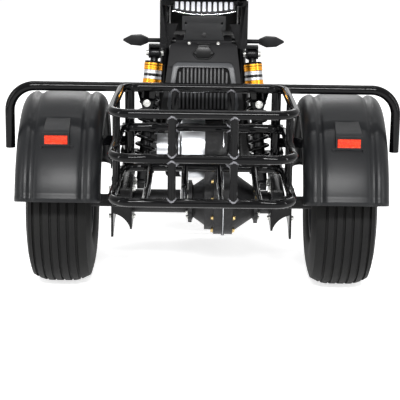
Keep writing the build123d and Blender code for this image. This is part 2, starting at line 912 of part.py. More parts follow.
def main_frame():
    """Head tube, side tubes under the footboard and up to the seat, struts and cross members."""
    head_low = on_fork(0, 0, lower_clamp_at + clamp_height / 2 + running_gap)
    head_high = on_fork(0, 0, upper_clamp_at - clamp_height / 2 - running_gap)
    head = rod(head_low, head_high, head_tube_diameter)
    deck_front = (deck_tube_x, deck_front_y, deck_tube_z)
    deck_rear = (deck_tube_x, deck_rear_y, deck_tube_z)
    side_points = [on_fork(*neck_start), neck_knee, deck_front, deck_rear, side_top]
    side = bent_tube(side_points, frame_tube, list(side_bends))
    rail_points = [seat_rail_low, seat_rail_knee, seat_rail_rise, seat_rail_end]
    seat_rail = bent_tube(rail_points, seat_tube, list(seat_rail_bends))
    tower = rod(tower_high, tower_low, tower_tube)
    pivot = cross_rod((0, *arm_pivot), arm_pivot_pin, 2 * arm_x + arm_plate_gap + 8)
    frame = head + both(side + seat_rail + tower + shock_mount() + strut()) + pivot
    for ahead, height, reach, size in cross_members:
        frame += rod((-reach, ahead, height), (reach, ahead, height), size)
    bore = 2 * (stem_radius + stem_clearance)
    return frame - rod(on_fork(0, 0, lower_clamp_at), on_fork(0, 0, upper_clamp_at), bore)


def footboard():
    """Ribbed foot plate on the side tubes with turned-down edges."""
    top = deck_tube_z + frame_tube / 2 + board_wall
    plate = Pos(0, board_middle, top - board_wall / 2) * Box(board_width, board_length, board_wall)
    edge_wall, edge_high = board_edge
    edge = Box(edge_wall, board_length, edge_high)
    plate += both(Pos((board_width - edge_wall) / 2, board_middle, top - edge_high / 2) * edge)
    pitch = board_length / board_ribs
    rib = Box(board_width - 2 * board_rib_in, pitch * 0.4, board_rib_high)
    for index in range(board_ribs):
        place = board_middle + (index + 0.5) * pitch - board_length / 2
        plate += Pos(0, place, top + board_rib_high / 2) * rib
    return plate


def battery_case():
    """Battery case slung under the cross members of the footboard, its long edges rounded."""
    top = deck_tube_z - cross_tube / 2 - touch
    wide, long, high = battery_size
    outline = RectangleRounded(wide, high, battery_corner)
    case = extrude(Plane.XZ * outline, amount=long / 2, both=True)
    return Pos(0, battery_middle, top - high / 2) * case


def body_cover(main):
    """Controller box under the seat, between the side tubes."""
    return plate_yz(body_cover_shape, 0, body_cover_width, body_cover_corner) - main


def tail_band(inner, outer, outline, corner=0):
    """Part of a tube wall about a cross axis, inside an outline seen from behind."""
    centre = (0, tail_bend_y, tail_low_z)
    long = 4 * tail_half_low
    wall = cross_rod(centre, 2 * outer, long) - cross_rod(centre, 2 * inner, long)
    reach = 2 * tail_bend_radius
    return wall & plate_xz(outline, tail_bend_y - reach, reach, corner)


def tail_cover(main):
    """Centre guard: a curved shell with a raised frame round a panel of upright ribs."""
    skin = tail_bend_radius
    low = tail_low_z
    shell_outline = [
        (-tail_half_top, tail_top_z),
        (tail_half_top, tail_top_z),
        (tail_half_low, low),
        (-tail_half_low, low),
    ]
    shell = tail_band(skin - tail_wall, skin, shell_outline, tail_corner)
    panel_low = low + tail_panel_up
    panel = [
        (-tail_panel_top, tail_panel_z),
        (tail_panel_top, tail_panel_z),
        (tail_panel_low, panel_low),
        (-tail_panel_low, panel_low),
    ]
    border = tail_border
    rim = [
        (-tail_panel_top - border, tail_panel_z + border),
        (tail_panel_top + border, tail_panel_z + border),
        (tail_panel_low + border, low + 2),
        (-tail_panel_low - border, low + 2),
    ]
    shell += tail_band(skin - 1, skin + tail_frame_rise, rim, tail_panel_corner + border / 2)
    shell -= tail_band(skin - 4, skin + 2 * tail_frame_rise, panel, tail_panel_corner)
    pitch = 2 * tail_panel_top / tail_ribs
    half = tail_rib_wall / 2
    for rib in range(tail_ribs):
        x = (rib + 0.5) * pitch - tail_panel_top
        high = tail_panel_z - (2 if 0 < rib < tail_ribs - 1 else tail_panel_corner)
        foot = panel_low + 2
        slat = [(x - half, high), (x + half, high), (x + half, foot), (x - half, foot)]
        shell += tail_band(skin - tail_wall + 1, skin + 1, slat)
    top_y = tail_bend_y - sqrt(skin**2 - (tail_top_z - low) ** 2)
    deck = [
        (top_y + 1, tail_top_z - 2),
        (top_y + 6, tail_top_z + 7),
        (tail_deck_y, tail_deck_z),
        (tail_deck_y, tail_deck_z - tail_wall),
        (top_y + 9, tail_top_z + 1),
        (top_y + 8, tail_top_z - 5),
    ]
    return shell + plate_yz(deck, 0, 2 * (tail_half_top - tail_corner)) - main


def charge_cap(shell):
    """Six-sided cap of the charging socket on the guard's upper part, with its flap's hinge."""
    along = radians(charge_angle)
    out = Vector(0, -cos(along), sin(along))
    spot = Vector(0, tail_bend_y, tail_low_z) + out * (tail_bend_radius - 1)
    face = Plane(origin=spot, x_dir=(1, 0, 0), z_dir=out)
    wide, narrow = charge_half
    outline = Polygon(
        (-wide, 0), (-narrow, -charge_low), (narrow, -charge_low),
        (wide, 0), (narrow, charge_high), (-narrow, charge_high), align=None
    )
    cap = extrude(face * outline, amount=charge_rise)
    hinge = Pos(0, charge_high + charge_flap[1] / 2) * Rectangle(*charge_flap)
    cap += extrude(face * hinge, amount=charge_rise - 1)
    return cap - shell


def tail_lamp(main):
    """Lamp body with a smile-shaped lower edge."""
    low = lamp_low_z + lamp_smile
    top = lamp_high_z - lamp_corner
    inner = lamp_half - lamp_corner
    smile = ThreePointArc((-lamp_half, low), (0, lamp_low_z), (lamp_half, low))
    rest = Polyline(
        (lamp_half, low), (lamp_half, top), (inner, lamp_high_z),
        (-inner, lamp_high_z), (-lamp_half, top), (-lamp_half, low)
    )
    face = make_face(Plane.XZ * (smile + rest))
    return Pos(0, lamp_y, 0) * extrude(face, amount=lamp_depth, dir=(0, 1, 0)) - main


def lamp_bars():
    """Upright light bars across the lamp's face, round at the foot, along its lower edge."""
    bars = Part()
    face = Plane.XZ.offset(-lamp_y)
    high = lamp_high_z - lamp_border
    for index in range(lamp_bar_count):
        x = (index - (lamp_bar_count - 1) / 2) * lamp_bar_pitch
        low = lamp_low_z + lamp_smile * (x / lamp_half) ** 2 + lamp_border + lamp_bar_width / 2
        outline = Pos(x, (low + high) / 2) * Rectangle(lamp_bar_width, high - low)
        outline += Pos(x, low) * Circle(lamp_bar_width / 2)
        bars += extrude(face * outline, amount=lamp_bar_rise)
    return bars


def plate_bracket(shell):
    """Number plate bracket: a plate with two holes, its tongue and its foot on the guard."""
    wide, wall, high = plate_size
    plate = Pos(0, plate_y, plate_z) * Box(wide, wall, high)
    low, top = plate_tongue_z
    half_low, half_top = plate_tongue_half
    outline = [(-half_low, low), (half_low, low), (half_top, top), (-half_top, top)]
    tongue = plate_xz(outline, plate_y - wall / 2, wall)
    foot_wide, foot_long, foot_high = plate_foot
    foot_place = Pos(0, plate_y + (foot_long - wall) / 2, low + foot_high / 2)
    foot = foot_place * Box(foot_wide, foot_long, foot_high)
    for side in (-1, 1):
        hole = Rot(90, 0, 0) * Cylinder(plate_hole_radius, 3 * wall)
        plate -= Pos(side * plate_hole_x, plate_y, plate_z) * hole
    return plate + tongue + foot - shell


def signal_body():
    """Pointed indicator body, tip outwards."""
    sections = []
    for out, width, height in signal_sections:
        sections.append(Pos(out, 0, 0) * (Plane.YZ * Rectangle(width, height)))
    return loft(sections, ruled=True)


def signal(place):
    """An indicator on its stalk, from its root outwards."""
    stalk = rod(place, place + Vector(signal_reach, 0, 0), signal_stalk)
    middle = place + Vector(signal_body_out, 0, 0)
    return stalk + Pos(*middle) * signal_body()


def seat_pan(main):
    """Stepped plate that carries both cushions on the frame's seat rails."""
    under = [(y, z - seat_pan_wall) for y, z in reversed(seat_pan_shape)]
    return plate_yz([*seat_pan_shape, *under], 0, seat_pan_width) - main


def cushion(shape, width):
    """A seat cushion's plain form: a side outline with its ends rounded off."""
    pad = plate_yz(shape, 0, width)
    ends = pad.faces().filter_by(Axis.X)
    return Pos(0, 0, touch) * chamfer(ends.edges(), cushion_corner)


def fork():
    """Both fork legs, the lower clamp with its stem, the upper clamp and the wheel axle."""
    foot = on_fork(fork_leg_x, fork_offset, -fork_drop)
    sleeve = on_fork(fork_leg_x, fork_offset, fork_sleeve_from)
    top = on_fork(fork_leg_x, fork_offset, upper_clamp_at + fork_leg_past)
    leg = rod(sleeve, top, fork_upper_diameter) + rod(foot, sleeve + steer_up * 2, fork_lower_diameter)
    spacer = front_hub_half + hub_side_gap
    leg += rod((spacer, wheelbase, front_axle_z), (fork_leg_x, wheelbase, front_axle_z), axle_boss)
    legs = both(leg)
    for along in (lower_clamp_at, upper_clamp_at):
        outline = SlotOverall(2 * fork_leg_x + clamp_round, clamp_round)
        middle = on_fork_plane(0, fork_offset / 2 + bar_ahead, along - clamp_height / 2)
        legs += extrude(middle * outline, amount=clamp_height)
    stem = rod(on_fork(0, 0, lower_clamp_at), on_fork(0, 0, upper_clamp_at), 2 * stem_radius)
    axle = cross_rod(front_axle, 2 * front_axle_radius, 2 * (fork_leg_x + axle_nut_past))
    return legs + stem + axle


def bar_points():
    """Middle, flat end, bend and tip of the handlebar's right half."""
    centre = on_fork(0, bar_ahead, upper_clamp_at + bar_rise_at)
    flat = centre + Vector(bar_flat_half, 0, 0)
    bend = centre + Vector(bar_bend_x, -bar_bend_back, bar_bend_up)
    tip = centre + Vector(bar_half, -bar_end_back, bar_end_up)
    return [centre, flat, bend, tip]


def handlebar():
    """Wide raised bar on two risers."""
    bar = both(bent_tube(bar_points(), bar_diameter, list(bar_bends)))
    foot = upper_clamp_at + clamp_height / 2
    for x in (-riser_x, riser_x):
        top = on_fork(x, bar_ahead, upper_clamp_at + bar_rise_at + riser_diameter / 2)
        bar += rod(on_fork(x, bar_ahead, foot), top, riser_diameter)
    return bar


def bar_tip():
    """Where the bar's last straight run ends and its direction outwards."""
    bend, tip = bar_points()[2:]
    return tip, (tip - bend).normalized()


def grip(bar):
    """Rubber grip with its inner flange, over the bar's end."""
    tip, out = bar_tip()
    inner = tip - out * grip_length
    flange, wall = grip_flange
    sleeve = rod(inner, tip + out * wall, grip_diameter)
    return sleeve + rod(inner, inner + out * wall, flange) - bar


def bar_controls(bar):
    """Switch housing, lever perch and lever by one grip."""
    tip, out = bar_tip()
    near = tip - out * (grip_length + touch)
    housing_diameter, housing_long = housing_size
    perch_diameter, perch_long = perch_size
    housing = rod(near - out * housing_long, near, housing_diameter)
    perch = near - out * perch_in
    ahead = Vector(*lever_ahead)
    body = rod(perch - out * perch_long / 2, perch + out * perch_long / 2, perch_diameter)
    body += rod(perch, perch + ahead, lever_diameter * 2)
    knee = perch + ahead + out * 60 + Vector(0, 20, 6)
    end = tip + ahead + Vector(0, 14, 0) + out * 4
    lever = bent_tube([perch + ahead, knee, end], lever_diameter, 40)
    return housing + body + lever - bar


def bar_mirror(controls):
    """Mirror stem and head on one perch."""
    tip, out = bar_tip()
    foot = tip - out * (grip_length + mirror_in)
    head = foot + Vector(*mirror_head)
    stem = bent_tube([foot, foot + Vector(*mirror_knee), head], mirror_stem, 40)
    face = Plane(origin=head + Vector(10, -6, 6), x_dir=(1, 0, 0), z_dir=(0, -1, 0.12))
    shell = extrude(face * SlotOverall(*mirror_size), amount=mirror_depth / 2, both=True)
    return stem + shell - controls


def front_fender(fork_part):
    """Close guard over the front tyre, held by a lug on each fork leg."""
    top = front_tyre_diameter / 2 + fender_gap
    half = front_tyre_width / 2 + fender_side_gap
    wall = fender_wall
    low = top - fender_skirt
    right = [
        (half - 22, top + 5),
        (half, top - 12),
        (half, low),
        (half - wall, low),
        (half - wall, top - 14),
        (half - 24, top),
    ]
    outer = right[:3]
    inner = right[3:]
    left_inner = [(-x, radius) for x, radius in reversed(inner)]
    left_outer = [(-x, radius) for x, radius in reversed(outer)]
    section = make_face(Polyline(*outer, *inner, *left_inner, *left_outer, close=True))
    turn = fender_rear_angle - fender_front_angle
    guard = revolve(Rot(fender_front_angle, 0, 0) * section, axis=Axis.X, revolution_arc=turn)
    guard = Pos(*front_axle) * guard
    for side in (-1, 1):
        lug = on_fork_plane(side * (half + fender_side_gap - 1), fork_offset - wall, top - 20)
        guard += lug * Box(*fender_lug)
    return guard - fork_part


def headlamp(fork_part):
    """Round headlamp bucket on the fork, with its rim and its two bars."""
    back = on_fork(0, fork_offset + headlamp_ahead, headlamp_at)
    shell = Plane(origin=back, x_dir=(1, 0, 0), z_dir=(0, 1, -0.04))
    lamp = loft([shell.offset(ahead) * Circle(radius) for ahead, radius in headlamp_sections], ruled=True)
    rim_radius, rim_wall_long = headlamp_rim
    lamp += extrude(shell.offset(headlamp_sections[-1][0]) * Circle(rim_radius), amount=rim_wall_long)
    for along, depth in headlamp_bars:
        bar = on_fork_plane(0, fork_offset + headlamp_bar_start + depth / 2, along)
        lamp += bar * Box(2 * fork_leg_x - 40, depth, headlamp_bar_high)
    return lamp - fork_part


def front_signal(fork_part):
    """Front indicator on a stalk off the fork leg."""
    place = on_fork(fork_leg_x + fork_upper_diameter / 2 - 6, fork_offset, front_signal_at)
    return signal(place) - fork_part


def display(bar):
    """Round instrument on the upper clamp."""
    face = on_fork_plane(0, display_ahead, upper_clamp_at + clamp_height / 2)
    return extrude(face * Circle(display_radius), amount=display_high) - bar


frame_part = main_frame()
rail_part = rear_rail(frame_part)
gearbox_part = gearbox()
tail_part = tail_cover(frame_part)
fork_part = fork()
bar_part = handlebar() - fork_part
controls_right = bar_controls(bar_part)
mirror_right = bar_mirror(controls_right + bar_part)
wing_right = wing() + reflector_pod() - rail_part
rear_place = Pos(rear_wheel_x, 0, rear_axle_z)
rear_tyre = tyre(
    rear_tyre_diameter,
    rear_tyre_width,
    rear_rim_diameter,
    rear_rim_width,
    rear_bead_lip,
    rear_tyre_shape,
)
front_tyre = tyre(
    front_tyre_diameter,
    front_tyre_width,
    front_rim_diameter,
    front_rim_width,
    front_bead_lip,
    front_tyre_shape,
)
tyre_right = rear_place * rear_tyre
rim_right = rear_place * rear_rim()

nodes = {
    "main_frame": frame_part,
    "rear_rail": rail_part,
    "cargo_basket": cargo_basket(rail_part),
    "wing_right": wing_right,
    "wing_left": mirror(wing_right, about=Plane.YZ),
    "reflectors": both(reflector()) - wing_right - mirror(wing_right, about=Plane.YZ),
    "gearbox": gearbox_part,
    "motor": motor(gearbox_part),
    "axle_housing": axle_housing(gearbox_part),
    "swing_arms": both(swing_arm()),
    "shock_absorbers": both(shock_absorber()),
    "shock_springs": both(shock_spring()),
    "shock_bolts": both(shock_bolts()),
    "footboard": footboard(),
    "battery_case": battery_case(),
    "body_cover": body_cover(frame_part),
    "tail_cover": tail_part,
    "charge_cap": charge_cap(tail_part),
    "tail_lamp": tail_lamp(frame_part),
    "lamp_bars": lamp_bars(),
    "plate_bracket": plate_bracket(tail_part),
    "rear_signals": both(signal(Vector(*signal_place))) - frame_part,
    "seat_pan": seat_pan(frame_part),
    "rider_cushion": cushion(rider_shape, rider_width),
    "passenger_cushion": cushion(passenger_shape, passenger_width),
    "fork": fork_part,
    "front_fender": front_fender(fork_part),
    "headlamp": headlamp(fork_part),
    "front_signals": both(front_signal(fork_part)),
    "handlebar": bar_part,
    "grips": both(grip(bar_part)),
    "bar_controls": both(controls_right),
    "bar_mirrors": both(mirror_right),
    "display": display(bar_part),
    "rear_tyre_right": tyre_right,
    "rear_rim_right": rim_right,
    "rear_tyre_left": mirror(tyre_right, about=Plane.YZ),
    "rear_rim_left": mirror(rim_right, about=Plane.YZ),
    "front_tyre": Pos(*front_axle) * front_tyre,
    "front_rim": Pos(*front_axle) * front_rim(),
    "front_disc": Pos(*front_axle) * brake_disc(),
}

os.makedirs("parts", exist_ok=True)
for name, shape in nodes.items():
    solids = shape.solids()
    piece = solids[0] if len(solids) == 1 else Compound(solids)
    export_step(Pos(0, rear_axle_y, 0) * piece, f"parts/{name}.step")
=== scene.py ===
import json
import math

import bpy
from mathutils import Matrix, Vector

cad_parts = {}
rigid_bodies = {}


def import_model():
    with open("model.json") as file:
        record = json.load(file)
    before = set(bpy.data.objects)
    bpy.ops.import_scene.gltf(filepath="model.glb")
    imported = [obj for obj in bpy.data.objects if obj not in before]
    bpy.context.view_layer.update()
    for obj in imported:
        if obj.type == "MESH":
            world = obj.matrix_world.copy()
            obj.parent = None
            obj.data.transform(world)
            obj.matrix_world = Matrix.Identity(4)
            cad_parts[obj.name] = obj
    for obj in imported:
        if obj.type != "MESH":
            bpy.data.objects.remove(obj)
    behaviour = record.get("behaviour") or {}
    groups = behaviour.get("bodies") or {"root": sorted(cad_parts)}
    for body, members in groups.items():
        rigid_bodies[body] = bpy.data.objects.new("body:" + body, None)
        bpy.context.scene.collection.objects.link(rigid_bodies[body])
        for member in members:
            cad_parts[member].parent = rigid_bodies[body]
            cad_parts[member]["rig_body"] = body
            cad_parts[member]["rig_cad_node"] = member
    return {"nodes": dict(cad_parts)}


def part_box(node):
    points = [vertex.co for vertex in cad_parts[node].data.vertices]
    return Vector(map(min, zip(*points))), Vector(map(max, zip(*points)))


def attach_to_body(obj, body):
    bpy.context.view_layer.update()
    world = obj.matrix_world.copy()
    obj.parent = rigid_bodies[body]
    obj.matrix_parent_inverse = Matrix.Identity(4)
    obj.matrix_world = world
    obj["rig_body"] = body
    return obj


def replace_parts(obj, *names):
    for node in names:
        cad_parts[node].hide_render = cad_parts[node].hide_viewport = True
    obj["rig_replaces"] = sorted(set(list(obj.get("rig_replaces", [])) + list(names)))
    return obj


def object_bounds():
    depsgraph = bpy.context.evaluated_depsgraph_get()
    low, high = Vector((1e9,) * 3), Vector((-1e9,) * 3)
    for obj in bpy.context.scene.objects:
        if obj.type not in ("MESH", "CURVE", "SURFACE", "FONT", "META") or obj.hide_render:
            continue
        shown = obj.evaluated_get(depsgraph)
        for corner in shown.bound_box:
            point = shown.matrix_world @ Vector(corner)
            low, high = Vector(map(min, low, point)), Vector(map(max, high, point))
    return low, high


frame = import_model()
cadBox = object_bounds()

deg = math.radians
scene = bpy.context.scene
scene.view_settings.view_transform = "Standard"


# Places that many pieces share, read from the frame
def middle(node):
    low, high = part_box(node)
    return (low + high) / 2


axle = middle("rear_tyre_right")
frontAxle = middle("front_tyre")
axleY = axle.y
axleZ = axle.z


def at(x, y, z):
    # Millimetres across, ahead of the rear axle and above the ground, to a place in the frame
    return Vector((x / 1000, axleY + y / 1000, z / 1000))


print("stage: frame loaded")


# Shader maths as plain expressions
class Wire:
    def __init__(self, nodes, socket):
        self.nodes = nodes
        self.socket = socket

    def maths(self, operation, other, clamp=False):
        return self.nodes.node("ShaderNodeMath", {"operation": operation, "use_clamp": clamp}, self, other)

    def __add__(self, other):
        return self.maths("ADD", other)

    def __mul__(self, other):
        return self.maths("MULTIPLY", other)

    __radd__ = __add__
    __rmul__ = __mul__

    def above(self, level, soft=0.05):
        # 0 below the level, 1 above it, with a soft edge
        return self.nodes.node("ShaderNodeMapRange", {"clamp": True}, self, level - soft, level + soft, 0.0, 1.0)


class Nodes:
    def __init__(self, tree):
        self.tree = tree

    def feed(self, socket, value):
        if isinstance(value, Wire):
            self.tree.links.new(value.socket, socket)
        else:
            socket.default_value = value

    def node(self, kind, settings, *values, out=0, **named):
        made = self.tree.nodes.new(kind)
        for key, value in settings.items():
            setattr(made, key, value)
        for socket, value in zip(made.inputs, values):
            self.feed(socket, value)
        for key, value in named.items():
            self.feed(made.inputs[key.replace("_", " ")], value)
        return Wire(self, made.outputs[out])


class Finish(Nodes):
    def __init__(self, name, color, rough=0.5, metal=0.0, coat=0.0, specular=0.5):
        self.material = bpy.data.materials.new(name)
        self.material.use_nodes = True
        super().__init__(self.material.node_tree)
        self.shader = self.tree.nodes["Principled BSDF"]
        self.color = color
        self.set("Base Color", (*color, 1.0))
        self.set("Roughness", rough)
        self.set("Metallic", metal)
        self.set("Coat Weight", coat)
        self.set("Coat Roughness", 0.12)
        self.set("Specular IOR Level", specular)
        self.place = self.node("ShaderNodeTexCoord", {}, out="Object")
        self.patterns = {}

    def set(self, name, value):
        self.feed(self.shader.inputs[name], value)

    def noise(self, scale, detail=3.0, rough=0.5, stretch=None):
        place = self.node("ShaderNodeMapping", {}, Vector=self.place, Scale=stretch) if stretch else self.place
        return self.node("ShaderNodeTexNoise", {}, Vector=place, Scale=scale, Detail=detail, Roughness=rough)

    def cells(self, scale, feature="F1"):
        return self.node("ShaderNodeTexVoronoi", {"feature": feature}, Vector=self.place, Scale=scale)

    def pattern(self, row):
        # A row of one number is a cell size. A longer row gives a noise's scale, detail and so on.
        if row not in self.patterns:
            self.patterns[row] = self.cells(*row) if len(row) == 1 else self.noise(*row)
        return self.patterns[row]

    def blend(self, factor, first, second):
        made = self.tree.nodes.new("ShaderNodeMix")
        made.data_type = "RGBA"
        self.feed(made.inputs[0], factor)
        self.feed(made.inputs[6], (*first, 1.0))
        self.feed(made.inputs[7], (*second, 1.0))
        return Wire(self, made.outputs[2])

    def bump(self, height, distance, strength=1.0, under=None):
        more = {"Normal": under} if under else {}
        made = self.node("ShaderNodeBump", {}, Height=height, Distance=distance, Strength=strength, **more)
        self.set("Normal", made)
        return made

    def tint(self, mask, color):
        self.set("Base Color", self.blend(mask, self.color, color))


def surface(name, color, gloss, spots=None, bump=None, **more):
    # gloss: least roughness, its range, pattern. spots: pattern, level, soft edge, share, colour.
    # bump: pattern, height, strength.
    finish = Finish(name, color, **more)
    least, span, row = gloss
    finish.set("Roughness", least + span * finish.pattern(row))
    if spots:
        row, level, soft, share, tone = spots
        finish.tint(finish.pattern(row).above(level, soft) * share, tone)
    if bump:
        row, height, strength = bump
        finish.bump(finish.pattern(row), height, strength)
    return finish


# Paints
tubePaint = surface(
    "glossBlackPaint", (0.0012, 0.0012, 0.0015), (0.035, 0.05, (7.0, 4.0)),
    ((28.0, 5.0), 0.66, 0.1, 0.4, (0.005, 0.005, 0.006)), ((260.0, 2.0), 0.0001, 0.05), specular=0.13
)
chassisPaint = surface(
    "satinBlackPaint", (0.0028, 0.0028, 0.0032), (0.2, 0.16, (11.0, 4.0)),
    ((60.0, 4.0), 0.63, 0.08, 0.5, (0.010, 0.010, 0.0115)), ((420.0, 2.0), 0.0004, 0.5), specular=0.16
)
rimFinish = surface(
    "rimPaint", (0.045, 0.045, 0.05), (0.3, 0.2, (16.0, 4.0)),
    ((45.0, 5.0), 0.62, 0.1, 0.5, (0.075, 0.075, 0.08)), ((600.0, 2.0), 0.0003, 0.4), metal=0.35
)
bracketFinish = surface(
    "bracketPaint", (0.0095, 0.0098, 0.0105), (0.32, 0.14, (16.0, 4.0)),
    ((9.0, 3.0), 0.55, 0.2, 0.5, (0.0135, 0.014, 0.015)), ((700.0, 2.0), 0.0002, 0.15), specular=0.24
)

# Plastics, rubber and thread
coverFinish = surface(
    "coverPlastic", (0.0042, 0.0042, 0.0048), (0.42, 0.2, (9.0, 4.0, 0.6)),
    ((9.0, 4.0, 0.6), 0.56, 0.2, 0.6, (0.0085, 0.0085, 0.0092)), ((1100.0,), 0.0005, 0.3), specular=0.17
)
lampFinish = surface("lampBlack", (0.004, 0.004, 0.0045), (0.08, 0.12, (18.0, 3.0)), specular=0.4)
# The tail guard's frame and ribs are lighter copies of the cover plastic, a painted highlight, and its panel is a
# darker copy, painted shade
litGuardFrameFinish = surface(
    "guardFrameLitPlastic", (0.0175, 0.019, 0.022), (0.28, 0.16, (12.0, 4.0, 0.6)),
    ((12.0, 4.0, 0.6), 0.56, 0.2, 0.6, (0.03, 0.032, 0.036)), ((1100.0,), 0.0004, 0.2), specular=0.36
)
shadedGuardPanelFinish = surface(
    "guardPanelShadedPlastic", (0.0022, 0.0022, 0.0025), (0.55, 0.15, (14.0, 3.0)),
    bump=((900.0,), 0.0004, 0.3), specular=0.08
)
litGuardRibFinish = surface(
    "guardRibLitPlastic", (0.0135, 0.014, 0.0155), (0.34, 0.14, (12.0, 4.0, 0.6)),
    ((12.0, 4.0, 0.6), 0.56, 0.2, 0.5, (0.02, 0.021, 0.023)), ((1100.0,), 0.0004, 0.2), specular=0.3
)
capFinish = surface(
    "capPlastic", (0.0012, 0.0012, 0.0014), (0.24, 0.14, (30.0, 3.0)),
    bump=((800.0, 2.0), 0.0002, 0.2), specular=0.16
)
tyreFinish = surface(
    "tyreRubber", (0.0042, 0.0042, 0.0042), (0.55, 0.28, (14.0, 6.0, 0.65)),
    ((14.0, 6.0, 0.65), 0.55, 0.15, 0.7, (0.011, 0.011, 0.0105)), ((520.0, 3.0), 0.0006, 0.35), specular=0.15
)
rubberFinish = surface(
    "softRubber", (0.01, 0.01, 0.0103), (0.52, 0.3, (40.0, 4.0)),
    ((60.0, 5.0), 0.6, 0.1, 0.4, (0.028, 0.028, 0.028)), ((700.0,), 0.0006, 0.4), specular=0.25
)
threadFinish = surface(
    "seamThread", (0.09, 0.09, 0.095), (0.6, 0.3, (500.0, 2.0)), bump=((900.0, 2.0), 0.0003, 0.6)
)

# Metals
steelFinish = surface(
    "turnedSteel", (0.52, 0.53, 0.55), (0.2, 0.22, (1.0, 3.0, 0.5, (1400.0, 90.0, 90.0))),
    ((30.0, 5.0), 0.6, 0.14, 0.5, (0.34, 0.34, 0.36)),
    ((1.0, 3.0, 0.5, (1400.0, 90.0, 90.0)), 0.0002, 0.3), metal=1.0
)
silverFinish = surface(
    "castSilver", (0.82, 0.84, 0.87), (0.24, 0.16, (1.0, 3.0, 0.5, (900.0, 12.0, 12.0))),
    ((22.0, 4.0), 0.58, 0.18, 0.4, (0.66, 0.68, 0.71)),
    ((1.0, 3.0, 0.5, (900.0, 12.0, 12.0)), 0.0003, 0.3), metal=1.0
)
goldFinish = surface(
    "goldAnodised", (0.86, 0.36, 0.022), (0.17, 0.15, (1.0, 2.0, 0.5, (60.0, 60.0, 1500.0))),
    ((1.0, 2.0, 0.5, (60.0, 60.0, 1500.0)), 0.58, 0.2, 0.4, (0.95, 0.5, 0.06)),
    ((1.0, 2.0, 0.5, (60.0, 60.0, 1500.0)), 0.0002, 0.25), metal=0.92
)
ironFinish = surface(
    "castBlack", (0.009, 0.009, 0.0095), (0.38, 0.25, (24.0, 5.0)),
    ((55.0, 6.0), 0.6, 0.1, 0.55, (0.026, 0.026, 0.028)), ((340.0, 4.0), 0.0011, 0.55), metal=0.1, specular=0.3
)
labelFinish = surface(
    "bareLabel", (0.55, 0.55, 0.56), (0.24, 0.18, (70.0, 3.0)),
    ((26.0, 3.0), 0.56, 0.15, 0.5, (0.36, 0.36, 0.375)), metal=0.75
)
chromeFinish = surface(
    "brightChrome", (0.78, 0.79, 0.81), (0.05, 0.09, (12.0, 4.0)),
    ((40.0, 5.0), 0.64, 0.08, 0.3, (0.6, 0.61, 0.63)), metal=1.0
)
zincFinish = surface(
    "zincBolt", (0.6, 0.6, 0.58), (0.2, 0.2, (160.0, 4.0)),
    ((220.0, 4.0), 0.58, 0.12, 0.6, (0.34, 0.34, 0.31)), metal=1.0
)
brassFinish = surface(
    "brassBolt", (0.62, 0.46, 0.2), (0.22, 0.2, (160.0, 4.0)),
    ((220.0, 4.0), 0.58, 0.12, 0.6, (0.36, 0.27, 0.13)), metal=1.0
)
weldFinish = surface(
    "weldBead", (0.13, 0.13, 0.14), (0.2, 0.3, (260.0, 4.0)),
    bump=((520.0, 3.0), 0.0014, 0.9), metal=0.7, specular=0.6
)
bowlFinish = surface(
    "lampBowl", (0.3, 0.31, 0.33), (0.16, 0.14, (130.0,)),
    ((130.0,), 0.45, 0.3, 0.5, (0.16, 0.165, 0.18)), ((130.0,), 0.0006, 0.5), metal=0.85
)
mirrorFinish = surface("mirrorGlass", (0.82, 0.84, 0.86), (0.015, 0.03, (9.0, 3.0)), metal=1.0)

# Glass and lenses
dialFinish = surface("dialFace", (0.008, 0.01, 0.013), (0.05, 0.06, (30.0, 3.0)), coat=0.7)
amberFinish = surface(
    "amberLens", (0.75, 0.26, 0.02), (0.14, 0.14, (60.0, 2.0)), bump=((300.0,), 0.0006, 0.4), coat=0.5
)
lensFinish = surface("clearLens", (0.9, 0.93, 0.96), (0.03, 0.06, (20.0, 2.0)))
lensFinish.set("Transmission Weight", 0.85)
lensFinish.set("IOR", 1.46)
glowingBarFinish = surface("opalLightBarGlow", (0.86, 0.87, 0.9), (0.2, 0.14, (40.0, 3.0)), coat=0.4)
# The light bars, dial marks and headlamp ring carry a faint painted glow that makes them read bright; none of them
# lights the scene as a lamp
glowingBarFinish.set("Emission Color", (0.9, 0.92, 1.0, 1.0))
glowingBarFinish.set("Emission Strength", 0.35)


def wingPlastic():
    # Moulded plastic: fine grain, soft clouding and faint handling marks
    plastic = Finish("wingPlastic", (0.0054, 0.0058, 0.0066), specular=0.19)
    cloud = plastic.noise(4.5, 5.0, 0.6)
    scuffs = plastic.noise(34.0, 5.0, 0.65).above(0.68, 0.06)
    plastic.set("Roughness", 0.31 + 0.1 * cloud + 0.08 * scuffs)
    plastic.tint(cloud.above(0.55, 0.25) * 0.6, (0.0095, 0.01, 0.011))
    plastic.bump(plastic.cells(900.0), 0.0005, 0.16)
    return plastic


def glowingRedReflector():
    # Prism cells under a clear red face, with a faint painted glow
    red = Finish("glowingRedReflector", (0.62, 0.034, 0.01), specular=0.2)
    cell = red.cells(420.0)
    red.set("Base Color", red.blend(cell.above(0.45, 0.3), (0.74, 0.055, 0.012), (0.4, 0.014, 0.005)))
    red.set("Roughness", 0.12 + 0.14 * red.noise(80.0, 2.0))
    # Painted glow: the reflector gives off a faint red light of its own, though it is no lamp
    red.set("Emission Color", (1.0, 0.05, 0.01, 1.0))
    red.set("Emission Strength", 0.12)
    red.bump(cell, 0.0006, 0.4)
    return red


